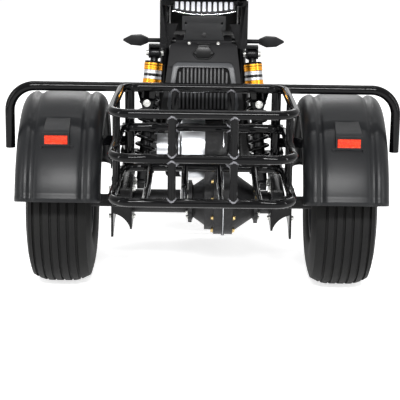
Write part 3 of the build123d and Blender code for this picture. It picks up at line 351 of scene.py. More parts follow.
def seatLeather():
    leather = Finish("seatLeather", (0.012, 0.0117, 0.0115), specular=0.32)
    pores = leather.cells(430.0, "DISTANCE_TO_EDGE")
    folds = leather.noise(26.0, 4.0, 0.6)
    leather.set("Roughness", 0.4 + 0.2 * folds)
    leather.tint(folds.above(0.58, 0.15) * 0.5, (0.03, 0.029, 0.0285))
    first = leather.bump(pores, 0.0007, 0.5)
    leather.bump(folds, 0.0018, 0.25, under=first)
    return leather


wingFinish = wingPlastic()
glowingRedFinish = glowingRedReflector()
leatherFinish = seatLeather()
print("stage: finishes made")


# Hand modelling helpers
def deselect():
    if bpy.context.mode != "OBJECT":
        bpy.ops.object.mode_set(mode="OBJECT")
    bpy.ops.object.select_all(action="DESELECT")


def only(piece):
    deselect()
    piece.select_set(True)
    bpy.context.view_layer.objects.active = piece


def settle(piece, name, finish):
    # Place goes into the mesh, and the object gets its name and finish
    only(piece)
    bpy.ops.object.transform_apply(location=True, rotation=True, scale=True)
    piece.name = name
    piece.data.name = name
    piece.data.materials.clear()
    piece.data.materials.append(finish.material)
    return piece


def modify(piece, kind, **settings):
    only(piece)
    made = piece.modifiers.new(kind.title(), kind)
    for key, value in settings.items():
        setattr(made, key, value)
    bpy.ops.object.modifier_apply(modifier=made.name)
    return piece


def smooth(piece, angle=35.0):
    only(piece)
    bpy.ops.object.shade_smooth_by_angle(angle=deg(angle))
    return piece


def bevel(piece, width, segments=2, angle=30.0):
    return modify(
        piece, "BEVEL", width=width, segments=segments, limit_method="ANGLE",
        angle_limit=deg(angle), miter_outer="MITER_ARC", use_clamp_overlap=True
    )


def recalc(piece, doubles=0.00005):
    only(piece)
    bpy.ops.object.mode_set(mode="EDIT")
    bpy.ops.mesh.select_mode(type="VERT")
    bpy.ops.mesh.select_all(action="SELECT")
    bpy.ops.mesh.remove_doubles(threshold=doubles)
    bpy.ops.mesh.normals_make_consistent(inside=False)
    bpy.ops.object.mode_set(mode="OBJECT")
    return piece


def join(name, pieces, finish=None):
    deselect()
    for piece in pieces:
        piece.select_set(True)
    bpy.context.view_layer.objects.active = pieces[0]
    bpy.ops.object.join()
    made = bpy.context.active_object
    made.name = name
    made.data.name = name
    if finish:
        made.data.materials.clear()
        made.data.materials.append(finish.material)
    return made


def copyOf(piece, name, mirrored=False, matrix=None):
    made = piece.copy()
    made.data = piece.data.copy()
    scene.collection.objects.link(made)
    made.name = name
    made.data.name = name
    if matrix is not None:
        made.data.transform(matrix)
    if mirrored:
        made.data.transform(Matrix.Diagonal((-1.0, 1.0, 1.0, 1.0)))
        made.data.flip_normals()
    return made


def drawn(points):
    # One vertex is extruded from point to point, as when tracing a profile by hand
    deselect()
    bpy.ops.mesh.primitive_plane_add(size=0.01, location=(0, 0, 0))
    piece = bpy.context.active_object
    bpy.ops.object.mode_set(mode="EDIT")
    bpy.ops.mesh.select_mode(type="VERT")
    bpy.ops.mesh.select_all(action="SELECT")
    bpy.ops.mesh.merge(type="CENTER")
    bpy.ops.transform.translate(value=points[0])
    for before, after in zip(points, points[1:]):
        step = Vector(after) - Vector(before)
        bpy.ops.mesh.extrude_region_move(TRANSFORM_OT_translate={"value": step})
    return piece


def drawnOut(points, step):
    # A drawn outline, filled and pulled out to a slab with its far face selected
    piece = drawn(points)
    bpy.ops.mesh.select_all(action="SELECT")
    bpy.ops.mesh.edge_face_add()
    bpy.ops.mesh.extrude_region_move(TRANSFORM_OT_translate={"value": step})
    return piece


def block(name, finish, size, place=(0, 0, 0)):
    deselect()
    bpy.ops.mesh.primitive_cube_add(size=1.0, location=place)
    piece = bpy.context.active_object
    piece.scale = size
    return settle(piece, name, finish)


def inset(piece, *steps):
    # Insets of the selected faces, one after another: thickness and depth
    only(piece)
    bpy.ops.object.mode_set(mode="EDIT")
    bpy.ops.mesh.select_mode(type="FACE")
    for thickness, depth in steps:
        bpy.ops.mesh.inset(thickness=thickness, depth=depth)
    bpy.ops.object.mode_set(mode="OBJECT")


def lathe(name, profile, finish, centre=(0, 0, 0), steps=96, sharp=35.0):
    # Profile points are (x along the axle, radius). The wheel axis runs along X.
    piece = drawn([(centre[0] + x, centre[1] + r, centre[2]) for x, r in profile])
    bpy.ops.mesh.select_all(action="SELECT")
    bpy.ops.mesh.edge_face_add()
    bpy.ops.mesh.delete(type="ONLY_FACE")
    bpy.ops.mesh.select_all(action="SELECT")
    bpy.ops.mesh.spin(steps=steps, angle=deg(360.0), center=centre, axis=(1, 0, 0))
    recalc(piece)
    settle(piece, name, finish)
    return smooth(piece, sharp)


def attach(piece, body, node=None):
    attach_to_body(piece, body)
    if node:
        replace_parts(piece, node)
    return piece


def cadCopy(node):
    # A loose copy of a CAD node, with a mesh of its own
    source = frame["nodes"][node]
    piece = source.copy()
    piece.data = source.data.copy()
    piece.parent = None
    scene.collection.objects.link(piece)
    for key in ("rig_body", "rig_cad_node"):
        if key in piece:
            del piece[key]
    return piece


def dress(node, finish, width, slot):
    # A merged, softened copy of a CAD node stands for it
    piece = cadCopy(node)
    only(piece)
    bpy.ops.object.mode_set(mode="EDIT")
    bpy.ops.mesh.select_all(action="SELECT")
    bpy.ops.mesh.remove_doubles(threshold=0.00002)
    bpy.ops.mesh.dissolve_limited(angle_limit=deg(1.0))
    bpy.ops.object.mode_set(mode="OBJECT")
    if width:
        bevel(piece, width)
    settle(piece, node + ".finished", finish)
    smooth(piece, 32.0)
    return attach(piece, frame["nodes"][node]["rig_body"], node)


def paintFaces(piece, finish, test):
    # Faces whose middle and normal pass the test get another finish
    piece.data.materials.append(finish.material)
    for face in piece.data.polygons:
        if test(face.center, face.normal):
            face.material_index = len(piece.data.materials) - 1


boltPatterns = {}


def boltPattern(across, high, washer):
    # A hexagon head with a round top, and its washer, standing on the origin
    deselect()
    bpy.ops.mesh.primitive_cylinder_add(vertices=6, radius=across / 2 / math.cos(deg(30)), depth=high)
    head = bpy.context.active_object
    head.data.transform(Matrix.Translation((0, 0, high / 2 + 0.0012)))
    bevel(head, high * 0.16, 2, 50)
    parts = [head]
    if washer:
        bpy.ops.mesh.primitive_cylinder_add(vertices=24, radius=across * 0.74, depth=0.0016)
        ring = bpy.context.active_object
        ring.data.transform(Matrix.Translation((0, 0, 0.0006)))
        bevel(ring, 0.0004, 2, 50)
        parts.append(ring)
    return smooth(join("boltPattern", parts), 30)


def hexBolt(name, place, direction, finish, across=0.013, high=0.006, washer=True):
    size = (across, high, washer)
    if size not in boltPatterns:
        boltPatterns[size] = boltPattern(across, high, washer)
    turn = Vector(direction).to_track_quat("Z", "Y").to_matrix().to_4x4()
    bolt = copyOf(boltPatterns[size], name, matrix=Matrix.Translation(place) @ turn)
    bolt.data.materials.clear()
    bolt.data.materials.append(finish.material)
    return bolt


def tubeAlong(name, points, radius, finish, cyclic=False, resolution=6):
    # A bevelled curve through given points, made a mesh
    deselect()
    bpy.ops.curve.primitive_nurbs_path_add(radius=1.0, location=(0, 0, 0))
    made = bpy.context.active_object
    line = made.data
    line.splines.clear()
    spline = line.splines.new("NURBS")
    spline.points.add(len(points) - 1)
    for spot, at in zip(spline.points, points):
        spot.co = (*at, 1.0)
    spline.order_u = 3
    spline.use_endpoint_u = not cyclic
    spline.use_cyclic_u = cyclic
    line.bevel_depth = radius
    line.bevel_resolution = resolution
    line.use_fill_caps = True
    line.resolution_u = 8
    bpy.ops.object.convert(target="MESH")
    made = bpy.context.active_object
    settle(made, name, finish)
    return smooth(made, 45)


# Rear tyres: ribbed balloon tyres, six grooves round the tread
rearTyre = {
    "radius": 0.230,
    "half": 0.090,
    "bead": 0.103,
    "grooves": 6,
    "pitch": 0.0235,
    "grooveWidth": 0.0078,
    "grooveDepth": 0.0058,
    "steps": 120,
}


def crownRadius(x, tyre, flat, curve):
    # Height of the tread at a place across the tyre
    over = max(0.0, abs(x) - flat)
    return tyre["radius"] - curve * over * over


def ribbedProfile(tyre, offset, flat, curve, shoulder):
    # Tread from one shoulder to the other with its grooves, then side walls and beads
    first = offset - tyre["pitch"] * (tyre["grooves"] - 1) / 2
    points = [(-shoulder, crownRadius(-shoulder, tyre, flat, curve))]
    for index in range(tyre["grooves"]):
        centre = first + index * tyre["pitch"]
        for step, depth in ((-0.5, 0.0), (-0.32, 1.0), (0.32, 1.0), (0.5, 0.0)):
            x = centre + step * tyre["grooveWidth"]
            points.append((x, crownRadius(x, tyre, flat, curve) - depth * tyre["grooveDepth"]))
        if index < tyre["grooves"] - 1:
            x = centre + tyre["pitch"] / 2
            points.append((x, crownRadius(x, tyre, flat, curve)))
    points.append((shoulder, crownRadius(shoulder, tyre, flat, curve)))
    return points


def sideWall(tyre, shoulder, shoulderRadius, beadX, sides=7):
    # From the shoulder round the bulge down to the bead, on one side
    wall = []
    begin, end = deg(78.0), deg(-62.0)
    flank = (tyre["half"] - shoulder) / (1 - math.cos(begin))
    for index in range(1, sides + 1):
        share = index / sides
        swing = begin * (1 - share) + end * share
        x = shoulder + flank * (math.cos(swing) - math.cos(begin))
        r = shoulderRadius + (tyre["bead"] + 0.012 - shoulderRadius) * share
        wall.append((min(x, tyre["half"]), r))
    wall.append((beadX + 0.003, tyre["bead"] + 0.006))
    wall.append((beadX, tyre["bead"]))
    wall.append((beadX - 0.008, tyre["bead"]))
    return wall


def makeTyre(name, tyre, centre, body, node, offset, flat, curve, shoulder, beadX):
    tread = ribbedProfile(tyre, offset, flat, curve, shoulder)
    wall = sideWall(tyre, shoulder, tread[-1][1], beadX)
    left = [(-x, r) for x, r in reversed(wall)]
    profile = left + tread + wall
    made = lathe(name, profile, tyreFinish, centre, tyre["steps"], sharp=40)
    return attach(made, body, node)


rightTyre = makeTyre(
    "rearTyreRight", rearTyre, (axle.x, axleY, axleZ), "rear_wheel_right", "rear_tyre_right",
    0.006, 0.028, 6.3, 0.079, 0.073
)
leftTyre = copyOf(rightTyre, "rearTyreLeft", mirrored=True)
leftTyre.parent = None
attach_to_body(leftTyre, "rear_wheel_left")
leftTyre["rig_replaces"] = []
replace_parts(leftTyre, "rear_tyre_left")
print("stage: rear tyres")

frontTyreSizes = {
    "radius": 0.240,
    "half": 0.061,
    "bead": 0.152,
    "grooves": 4,
    "pitch": 0.0205,
    "grooveWidth": 0.006,
    "grooveDepth": 0.005,
    "steps": 120,
}
frontTyrePiece = makeTyre(
    "frontTyre", frontTyreSizes, tuple(frontAxle), "front_wheel", "front_tyre",
    0.0, 0.008, 10.5, 0.051, 0.041
)

# Rear wings: a crowned band between two channels, rounded shoulders, skirts and rolled ends
wingShape = {
    "radius": 0.312,
    "x": 0.385,
    "wall": 0.004,
    "rear": 167.5,
    "front": 8.0,
    "steps": 132,
    "lip": 0.019,
    "lipRise": 0.0035,
    # Outer section from the middle outwards: distance from the middle, depth under the crown
    "section": (
        (0.0, 0.0), (0.018, 0.0003), (0.036, 0.0012), (0.05, 0.0024), (0.0575, 0.0038),
        (0.061, 0.0058), (0.0645, 0.0088), (0.069, 0.0098), (0.0735, 0.0088), (0.0775, 0.0052),
        (0.082, 0.0036), (0.088, 0.0042), (0.095, 0.0068), (0.102, 0.0115), (0.108, 0.0182),
        (0.112, 0.0262), (0.114, 0.036), (0.1143, 0.048), (0.1145, 0.06),
    ),
}


def makeWing():
    shape = wingShape
    right = list(shape["section"])
    section = [(-x, drop) for x, drop in reversed(right[1:])] + right
    start, end = deg(shape["front"]), deg(shape["rear"])
    points = []
    for x, drop in section:
        r = shape["radius"] - drop
        points.append((shape["x"] + x, axleY + r * math.cos(start), axleZ + r * math.sin(start)))
    wing = drawn(points)
    bpy.ops.mesh.select_all(action="SELECT")
    bpy.ops.mesh.spin(
        steps=shape["steps"], angle=start - end, center=(shape["x"], axleY, axleZ), axis=(1, 0, 0)
    )
    bpy.ops.object.mode_set(mode="OBJECT")
    # The rolled ends swell outwards over the last centimetres
    for vertex in wing.data.vertices:
        y, z = vertex.co.y - axleY, vertex.co.z - axleZ
        r, turn = math.hypot(y, z), math.atan2(z, y)
        near = min(abs(turn - start), abs(end - turn)) * shape["radius"]
        if near < shape["lip"]:
            swell = math.sin(math.pi * near / shape["lip"]) ** 0.6 * shape["lipRise"]
            skirt = min(1.0, max(0.0, (0.31 - abs(shape["radius"] - r) - 0.25) / 0.02))
            grown = 1 + swell * skirt / r
            vertex.co.y = axleY + y * grown
            vertex.co.z = axleZ + z * grown
    recalc(wing)
    only(wing)
    outward = sum(
        1 if face.normal.dot(face.center - Vector((shape["x"], axleY, axleZ))) > 0 else -1
        for face in wing.data.polygons
    )
    if outward < 0:
        wing.data.flip_normals()
    modify(wing, "SOLIDIFY", thickness=shape["wall"], offset=-1.0, use_even_offset=True)
    modify(wing, "BEVEL", width=0.0012, segments=2, limit_method="ANGLE", angle_limit=deg(60))
    settle(wing, "wingShellRight", wingFinish)
    return smooth(wing, 50)


# Moulded box on the wing: an upright face for the reflector and a roof that runs up into the wing
pod = {
    "x": 389.0,
    "z": 453.0,
    "width": 63.0,
    "height": 25.0,
    "border": 9.5,
    "face": -244.6,
    "merge": 113.0,
    "recess": 0.0055,
    "taper": 0.86,
}


def makePod():
    # A grid is laid over the box's face and roof, and its edges drop into the wing's shell
    low = pod["z"] - pod["height"] / 2 - pod["border"]
    high = pod["z"] + pod["height"] / 2 + pod["border"]
    centre = axleZ * 1000
    under = wingShape["radius"] * 1000 - 2.6
    merge = deg(pod["merge"])
    top = (under * math.cos(merge), centre + under * math.sin(merge))
    lip = pod["border"] - 1.2
    inside = math.sqrt(under ** 2 - (low - centre) ** 2)
    path = [(-inside, low), (pod["face"], low), (pod["face"], low + lip), (pod["face"], high - lip)]
    path += [(pod["face"], high), (pod["face"] + 10, high + 5)]
    start = path[-1]
    path += [
        (start[0] + (top[0] - start[0]) * share, start[1] + (top[1] - start[1]) * share)
        for share in (0.1, 0.3, 0.5, 0.7, 0.85, 1.0)
    ]
    half = pod["width"] / 2 + pod["border"]
    inner = half - lip
    across = [-half, -half, -inner, -half / 3, half / 3, inner, half, half]
    deselect()
    bpy.ops.mesh.primitive_grid_add(x_subdivisions=len(across) - 1, y_subdivisions=len(path) - 1, size=1.0)
    box = bpy.context.active_object
    for vertex in box.data.vertices:
        column = round((vertex.co.x + 0.5) * (len(across) - 1))
        row = round((vertex.co.y + 0.5) * (len(path) - 1))
        y, z = path[row]
        roofShare = max(0.0, (row - 5) / (len(path) - 6))
        x = across[column] * (1 - (1 - pod["taper"]) * roofShare)
        if column in (0, len(across) - 1):
            turn = math.atan2(z - centre, y)
            y, z = under * math.cos(turn), centre + under * math.sin(turn)
        vertex.co = at(pod["x"] + x, y, z)
    recalc(box, 0.0)
    for face in box.data.polygons:
        near = abs(face.center.x * 1000 - pod["x"]) < inner and abs(face.center.z * 1000 - pod["z"]) < 12
        face.select = near and face.normal.y < -0.99 or near and face.normal.y > 0.99
    inset(box, (0.0008, -pod["recess"]))
    outward = sum(face.normal.y * face.area for face in box.data.polygons)
    if outward > 0:
        box.data.flip_normals()
    modify(box, "SOLIDIFY", thickness=0.0012, offset=-1.0)
    bevel(box, 0.0016, 3, 32)
    settle(box, "reflectorBoxRight", wingFinish)
    return smooth(box, 50)


def makeReflector():
    # A red slab with rounded edges and a thin raised border
    size = ((pod["width"] - 2) / 1000, 0.0052, (pod["height"] - 2) / 1000)
    slab = block("reflectorRight", glowingRedFinish, size, at(pod["x"], pod["face"] + 4.6, pod["z"]))
    for face in slab.data.polygons:
        face.select = face.normal.y < -0.9
    inset(slab, (0.0016, 0.0), (0.0005, -0.0007))
    bevel(slab, 0.0008, 2, 40)
    return smooth(slab, 40)


wingShell = join("wingRight", [makeWing(), makePod()])
attach(wingShell, "frame", "wing_right")
mirroredWing = copyOf(wingShell, "wingLeft", mirrored=True)
mirroredWing["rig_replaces"] = []
attach(mirroredWing, "frame", "wing_left")
reflectorPair = makeReflector()
otherReflector = copyOf(reflectorPair, "reflectorLeft", mirrored=True)
reflectorPair = join("reflectorPair", [reflectorPair, otherReflector])
attach(reflectorPair, "frame", "reflectors")
print("stage: wings")

# Shock absorbers: canister trims and an open coil on each
shock = {
    "top": (136.0, 30.0, 650.0),
    "bottom": (169.0, -45.0, 292.0),
    "springRadius": 0.0255,
    "wire": 0.0045,
    "turns": 9,
    "stepsPerTurn": 36,
    "springFrom": 0.1085,
    "springPastEnd": 0.0465,
    # Trims along the canister: start, end, radius, finish, groove count
    "trims": (
        ("cap", 0.0235, 0.0285, 0.0256, tubePaint, 0),
        ("collar", 0.0285, 0.0485, 0.0268, goldFinish, 2),
        ("label", 0.0485, 0.0745, 0.0255, labelFinish, 0),
        ("bandFine", 0.0518, 0.0532, 0.02575, lampFinish, 0),
        ("bandWide", 0.0580, 0.0672, 0.02575, lampFinish, 0),
        ("ring", 0.0745, 0.0985, 0.0268, goldFinish, 3),
    ),
}
shockTop, shockBottom = at(*shock["top"]), at(*shock["bottom"])
shockLength = (shockBottom - shockTop).length
shockTurn = (shockBottom - shockTop).to_track_quat("X", "Z").to_matrix().to_4x4()
shockPlace = Matrix.Translation(shockTop) @ shockTurn


def makeTrim(name, start, end, radius, finish, grooves):
    # A ring of the canister, with soft edges and turned grooves
    soft = 0.0009
    profile = [(start, 0.0235), (start, radius - soft), (start + soft, radius)]
    for index in range(grooves):
        middleOf = start + (end - start) * (index + 1) / (grooves + 1)
        profile += [
            (middleOf - 0.0011, radius), (middleOf - 0.0006, radius - 0.0009),
            (middleOf + 0.0006, radius - 0.0009), (middleOf + 0.0011, radius),
        ]
    profile += [(end - soft, radius), (end, radius - soft), (end, 0.0235)]
    trim = lathe("shock" + name.title(), profile, finish, steps=56, sharp=30)
    trim.data.transform(shockPlace)
    return trim


def makeSpring():
    deselect()
    bpy.ops.mesh.primitive_circle_add(vertices=14, radius=shock["wire"], rotation=(math.pi / 2, 0, 0))
    spring = bpy.context.active_object
    spring.data.transform(Matrix.Rotation(math.pi / 2, 4, "X"))
    spring.rotation_euler = (0, 0, 0)
    spring.data.transform(Matrix.Translation((shock["springRadius"], 0, 0)))
    long = shockLength - shock["springFrom"] - shock["springPastEnd"]
    modify(
        spring, "SCREW", angle=2 * math.pi * shock["turns"], screw_offset=long, axis="Z",
        steps=shock["turns"] * shock["stepsPerTurn"], render_steps=shock["turns"] * shock["stepsPerTurn"]
    )
    recalc(spring)
    spring.data.transform(Matrix.Rotation(math.pi / 2, 4, "Y"))
    spring.data.transform(Matrix.Translation((shock["springFrom"], 0, 0)))
    spring.data.transform(shockPlace)
    settle(spring, "shockSpring", tubePaint)
    return smooth(spring, 60)


def bothSides(piece, name, body, node=None):
    other = copyOf(piece, name + "Other", mirrored=True)
    pair = join(name, [piece, other])
    return attach(pair, body, node)


for trimName, trimStart, trimEnd, trimRadius, trimFinish, trimGrooves in shock["trims"]:
    shockTrim = makeTrim(trimName, trimStart, trimEnd, trimRadius, trimFinish, trimGrooves)
    bothSides(shockTrim, "shock" + trimName.title() + "Pair", "frame")
bothSides(makeSpring(), "shockSpringPair", "frame", "shock_springs")
print("stage: shock absorbers")

# Charging socket cap: six sides, a hinged flap above and two screws
chargeCap = {
    "angle": 28.6,
    "bendRadius": 0.330,
    "bendY": 262.0,
    "bendZ": 500.0,
    "outline": ((-31, -1), (-17, -17), (17, -17), (31, -1), (16, 20), (-16, 20)),
    "rise": 0.0055,
    "flap": (0.034, 0.008, 0.0052),
    "flapY": 0.0232,
    "hingeY": 0.0282,
    "hingeRadius": 0.0021,
    "screwX": 0.0225,
}
capTurn = deg(chargeCap["angle"])
capOut = Vector((0, -math.cos(capTurn), math.sin(capTurn)))
capSpot = at(0, chargeCap["bendY"], chargeCap["bendZ"]) + capOut * chargeCap["bendRadius"]
capPlace = Matrix.Translation(capSpot) @ Matrix.Rotation(math.pi / 2 - capTurn, 4, "X")


def makeChargeCap():
    sunk = 0.003
    outline = [(x / 1000, y / 1000, -sunk) for x, y in chargeCap["outline"]]
    cap = drawnOut(outline, (0, 0, chargeCap["rise"] + sunk))
    inset(cap, (0.0022, 0.0), (0.0008, -0.0014))
    recalc(cap)
    bevel(cap, 0.0007, 2, 30)
    wide, long, high = chargeCap["flap"]
    flap = block("chargeFlap", coverFinish, chargeCap["flap"], (0, chargeCap["flapY"], high / 2 - 0.001))
    bevel(flap, 0.0009, 2, 30)
    deselect()
    bpy.ops.mesh.primitive_cylinder_add(
        vertices=20, radius=chargeCap["hingeRadius"], depth=wide + 0.002,
        location=(0, chargeCap["hingeY"], high * 0.7), rotation=(0, math.pi / 2, 0)
    )
    pin = settle(bpy.context.active_object, "chargeHinge", coverFinish)
    cap = join("chargeCapPiece", [cap, flap, pin], capFinish)
    cap.data.transform(capPlace)
    return smooth(cap, 35)


def makeCapScrews():
    screws = []
    for side in (-1, 1):
        place = capSpot + Vector((side * chargeCap["screwX"], 0, 0)) + capOut * (chargeCap["rise"] - 0.0012)
        screws.append(hexBolt("chargeScrew", place, capOut, ironFinish, across=0.0046, high=0.0014))
    return join("chargeScrews", screws)


attach(makeChargeCap(), "frame", "charge_cap")
attach(makeCapScrews(), "frame")

# Tail lamp: a gloss body with a smile-shaped foot, a recessed face and upright light bars
lampShape = {
    "half": 88.0,
    "low": 762.0,
    "high": 802.0,
    "smile": 10.0,
    "face": 6.0,
    "depth": 38.0,
    "count": 11,
    "pitch": 15.2,
    "width": 9.4,
    "foot": 7.5,
    "trim": 1.5,
}


def makeLampBody():
    shape = lampShape
    outline = [(shape["half"], shape["high"]), (-shape["half"], shape["high"])]
    for index in range(17):
        share = index / 8 - 1
        outline.append((share * shape["half"], shape["low"] + shape["smile"] * share * share))
    body = drawnOut([at(x, shape["face"], z) for x, z in outline], (0, shape["depth"] / 1000, 0))
    recalc(body)
    for face in body.data.polygons:
        face.select = face.normal.y < -0.99
    inset(body, (0.003, 0.0), (0.001, -0.0022))
    bevel(body, 0.0012, 3, 30)
    settle(body, "tailLampBody", lampFinish)
    return smooth(body, 40)


def makeLampBars():
    shape = lampShape
    bars = []
    for index in range(shape["count"]):
        x = (index - (shape["count"] - 1) / 2) * shape["pitch"]
        low = shape["low"] + shape["smile"] * (x / shape["half"]) ** 2 + shape["foot"]
        high = shape["high"] - 5.0
        deselect()
        bpy.ops.mesh.primitive_cylinder_add(
            vertices=24, radius=shape["width"] / 2000, depth=(high - low) / 1000,
            location=at(x, shape["face"] + 2.4, (high + low) / 2)
        )
        bar = bpy.context.active_object
        bevel(bar, 0.0026, 4, 50)
        bars.append(settle(bar, "lightBar", glowingBarFinish))
    return smooth(join("lightBars", bars, glowingBarFinish), 40)


def makeLampHighlightBead():
    # A bright chrome bead along the lamp's curved foot, standing for the highlight on its plastic edge: a painted
    # highlight
    shape = lampShape
    points = []
    for index in range(17):
        share = index / 8 - 1
        low = shape["low"] + shape["smile"] * share * share - shape["trim"] * 0.8
        points.append(at(share * (shape["half"] - 2), shape["face"] + 1.6, low))
    return tubeAlong("lampHighlightBead", points, shape["trim"] / 1000, chromeFinish)


attach(makeLampBody(), "frame", "tail_lamp")
attach(makeLampHighlightBead(), "frame")
attach(makeLampBars(), "frame", "lamp_bars")
print("stage: tail")

# Bolts and screws: place, direction, across the flats, height
fasteners = {
    "bright": [
        ((-151, -163.2, 541), (0, -1, 0), 0.0135, 0.0075),
        ((151, -163.2, 541), (0, -1, 0), 0.0135, 0.0075),
        ((-40, -12.6, 684.6), (0, -0.75, 0.66), 0.0072, 0.004),
        ((40, -12.6, 684.6), (0, -0.75, 0.66), 0.0072, 0.004),
    ],
    "dark": [
        ((1, -2.2, 706), (0, -1, 0), 0.010, 0.005),
    ],
}
# Bolts at both ends of the shocks and nuts on the hanger plates: middle and how far their seats stand off
shockBolts = {"topReach": 17.2, "lowX": 150.5}
hanger = {"x": 222, "reach": 29.2, "spots": ((-70, 282), (44, 282), (-70, 202), (36, 202))}
topX, topY, topZ = shock["top"]
for shockSide in (-1, 1):
    for reachOut in (-1, 1):
        spotX = shockSide * topX + reachOut * shockBolts["topReach"]
        fasteners["bright"].append(((spotX, topY, topZ), (reachOut, 0, 0), 0.014, 0.0065))
    for ahead, rise in hanger["spots"]:
        for reachOut in (-1, 1):
            spotX = shockSide * hanger["x"] + reachOut * hanger["reach"]
            fasteners["bright"].append(((spotX, ahead, rise), (reachOut, 0, 0), 0.0125, 0.007))
    lowPlace = (shockSide * shockBolts["lowX"], *shock["bottom"][1:])
    fasteners["bright"].append((lowPlace, (-shockSide, 0, 0), 0.014, 0.007))
for boltKind, boltFinish, boltSlot in (("bright", zincFinish, "machined"), ("dark", ironFinish, "gear_paint")):
    heads = []
    for boltPlace, boltWay, boltAcross, boltHigh in fasteners[boltKind]:
        heads.append(hexBolt("bolt", at(*boltPlace), boltWay, boltFinish, boltAcross, boltHigh))
    attach(join(boltKind + "Bolts", heads), "frame")

# Brass coloured bolts round the gearbox's seam, bolts on its flanges, and the bright seams themselves
gearSeam = {
    "bolts": 10,
    "ring": 0.0865,
    "sides": ((0.089, 1), (0.033, -1)),
    "flangeBolts": 6,
    "flangeRing": 0.046,
    "flanges": ((0.1602, 1), (-0.0382, -1)),
    "x": 61.0,
    # Name, ahead, up, inner and outer radius
    "lines": (("gearboxSeam", 0, 230, 0.09, 0.0976), ("motorSeam", 100, 362, 0.08, 0.0856)),
    "half": 0.0008,
}


def boltRing(name, finish, count, radius, x, way):
    # Bolts evenly round the gearbox's axis, on a face at x
    bolts = []
    for index in range(count):
        turn = 2 * math.pi * (index + 0.5) / count
        place = at(0, 0, 230) + Vector((0, math.cos(turn), math.sin(turn))) * radius
        place.x = x
        bolts.append(hexBolt(name, place, (way, 0, 0), finish, 0.009, 0.005))
    return bolts


gearBolts = []
for faceX, faceWay in gearSeam["sides"]:
    gearBolts += boltRing("seamBolt", brassFinish, gearSeam["bolts"], gearSeam["ring"], faceX, faceWay)
for faceX, faceWay in gearSeam["flanges"]:
    gearBolts += boltRing(
        "flangeBolt", zincFinish, gearSeam["flangeBolts"], gearSeam["flangeRing"], faceX, faceWay
    )
attach(join("gearboxBolts", gearBolts), "frame")
seams = []
for seamName, seamY, seamZ, seamIn, seamOut in gearSeam["lines"]:
    seamHalf = gearSeam["half"]
    seamProfile = [(-seamHalf, seamIn), (-seamHalf, seamOut), (seamHalf, seamOut), (seamHalf, seamIn)]
    seams.append(lathe(seamName, seamProfile, steelFinish, tuple(at(gearSeam["x"], seamY, seamZ)), steps=72))
attach(join("caseSeams", seams), "frame")
print("stage: bolts")

# Weld beads where the basket's uprights meet its rings
basket = {
    "back": -580.0,
    "front": -185.0,
    "upright": 10.0,
    "ring": 11.0,
    "levels": (370.0, 480.0, 589.0),
    "uprightX": 75.0,
    "bead": 0.0023,
}


def weldSeam(x, y, z, up):
    # The line where a vertical tube meets a tube that lies across
    points = []
    clear = 1.03
    for index in range(44):
        turn = 2 * math.pi * index / 44
        side = basket["upright"] * math.sin(turn)
        across = basket["upright"] * math.cos(turn)
        climb = math.sqrt(basket["ring"] ** 2 - across ** 2)
        ripple = 0.9 * math.sin(11 * turn)
        points.append(at(x + side * clear, y + across * clear, z + up * (climb + ripple)))
    return tubeAlong("weldSeam", points, basket["bead"], weldFinish, cyclic=True, resolution=3)


def makeWelds():
    seams = []
    for side in (-1, 1):
        for y in (basket["back"], basket["front"]):
            for index, level in enumerate(basket["levels"]):
                if index < 2:
                    seams.append(weldSeam(side * basket["uprightX"], y, level, 1))
                if index > 0:
                    seams.append(weldSeam(side * basket["uprightX"], y, level, -1))
    welds = join("basketWelds", seams, weldFinish)
    # No bead stands out behind the rings
    for vertex in welds.data.vertices:
        vertex.co.y = max(vertex.co.y, cadBox[0][1] + 0.0002)
    return welds


attach(makeWelds(), "frame")
print("stage: welds")

# Cushions: the CAD form, swollen by cloth pressure, with sewn channels and a welt
cushions = {
    "rider_cushion": {
        "piece": "riderCushion", "shrink": 0.975, "half": 0.150, "top": 0.129, "foot": 0.113,
        "level": 0.735, "channels": (0.32, 0.40, 0.48), "welt": (0.100, 0.285, 0.545), "cap": 0.010,
    },
    "passenger_cushion": {
        "piece": "passengerCushion", "shrink": 0.975, "half": 0.125, "top": 0.125, "foot": 0.117,
        "level": 0.83, "channels": (-0.01, 0.06, 0.13), "welt": (0.096, -0.055, 0.185), "cap": 0.010,
    },
}


def swell(pad, cap):
    # Pressure rounds the pad. Its underside, which rests on the pan, is pinned.
    start = [vertex.co.copy() for vertex in pad.data.vertices]
    group = pad.vertex_groups.new(name="resting")
    resting = [vertex.index for vertex in pad.data.vertices if vertex.normal.z < -0.5]
    group.add(resting, 1.0, "REPLACE")
    only(pad)
    cloth = pad.modifiers.new("Cloth", "CLOTH")
    settings = cloth.settings
    settings.quality = 5
    settings.mass = 0.3
    settings.tension_stiffness = 18.0
    settings.compression_stiffness = 18.0
    settings.bending_stiffness = 0.6
    settings.use_pressure = True
    settings.uniform_pressure_force = 4.0
    settings.vertex_group_mass = "resting"
    settings.effector_weights.gravity = 0.0
    cloth.collision_settings.use_collision = False
    cloth.point_cache.frame_start = 1
    cloth.point_cache.frame_end = 20
    for frameNumber in range(1, 21):
        scene.frame_set(frameNumber)
    solved = pad.evaluated_get(bpy.context.evaluated_depsgraph_get()).to_mesh()
    moved = [vertex.co.copy() for vertex in solved.vertices]
    pad.modifiers.remove(cloth)
    scene.frame_set(1)
    for vertex, was, now in zip(pad.data.vertices, start, moved):
        step = now - was
        if step.length > cap:
            step = step.normalized() * cap
        vertex.co = was + step


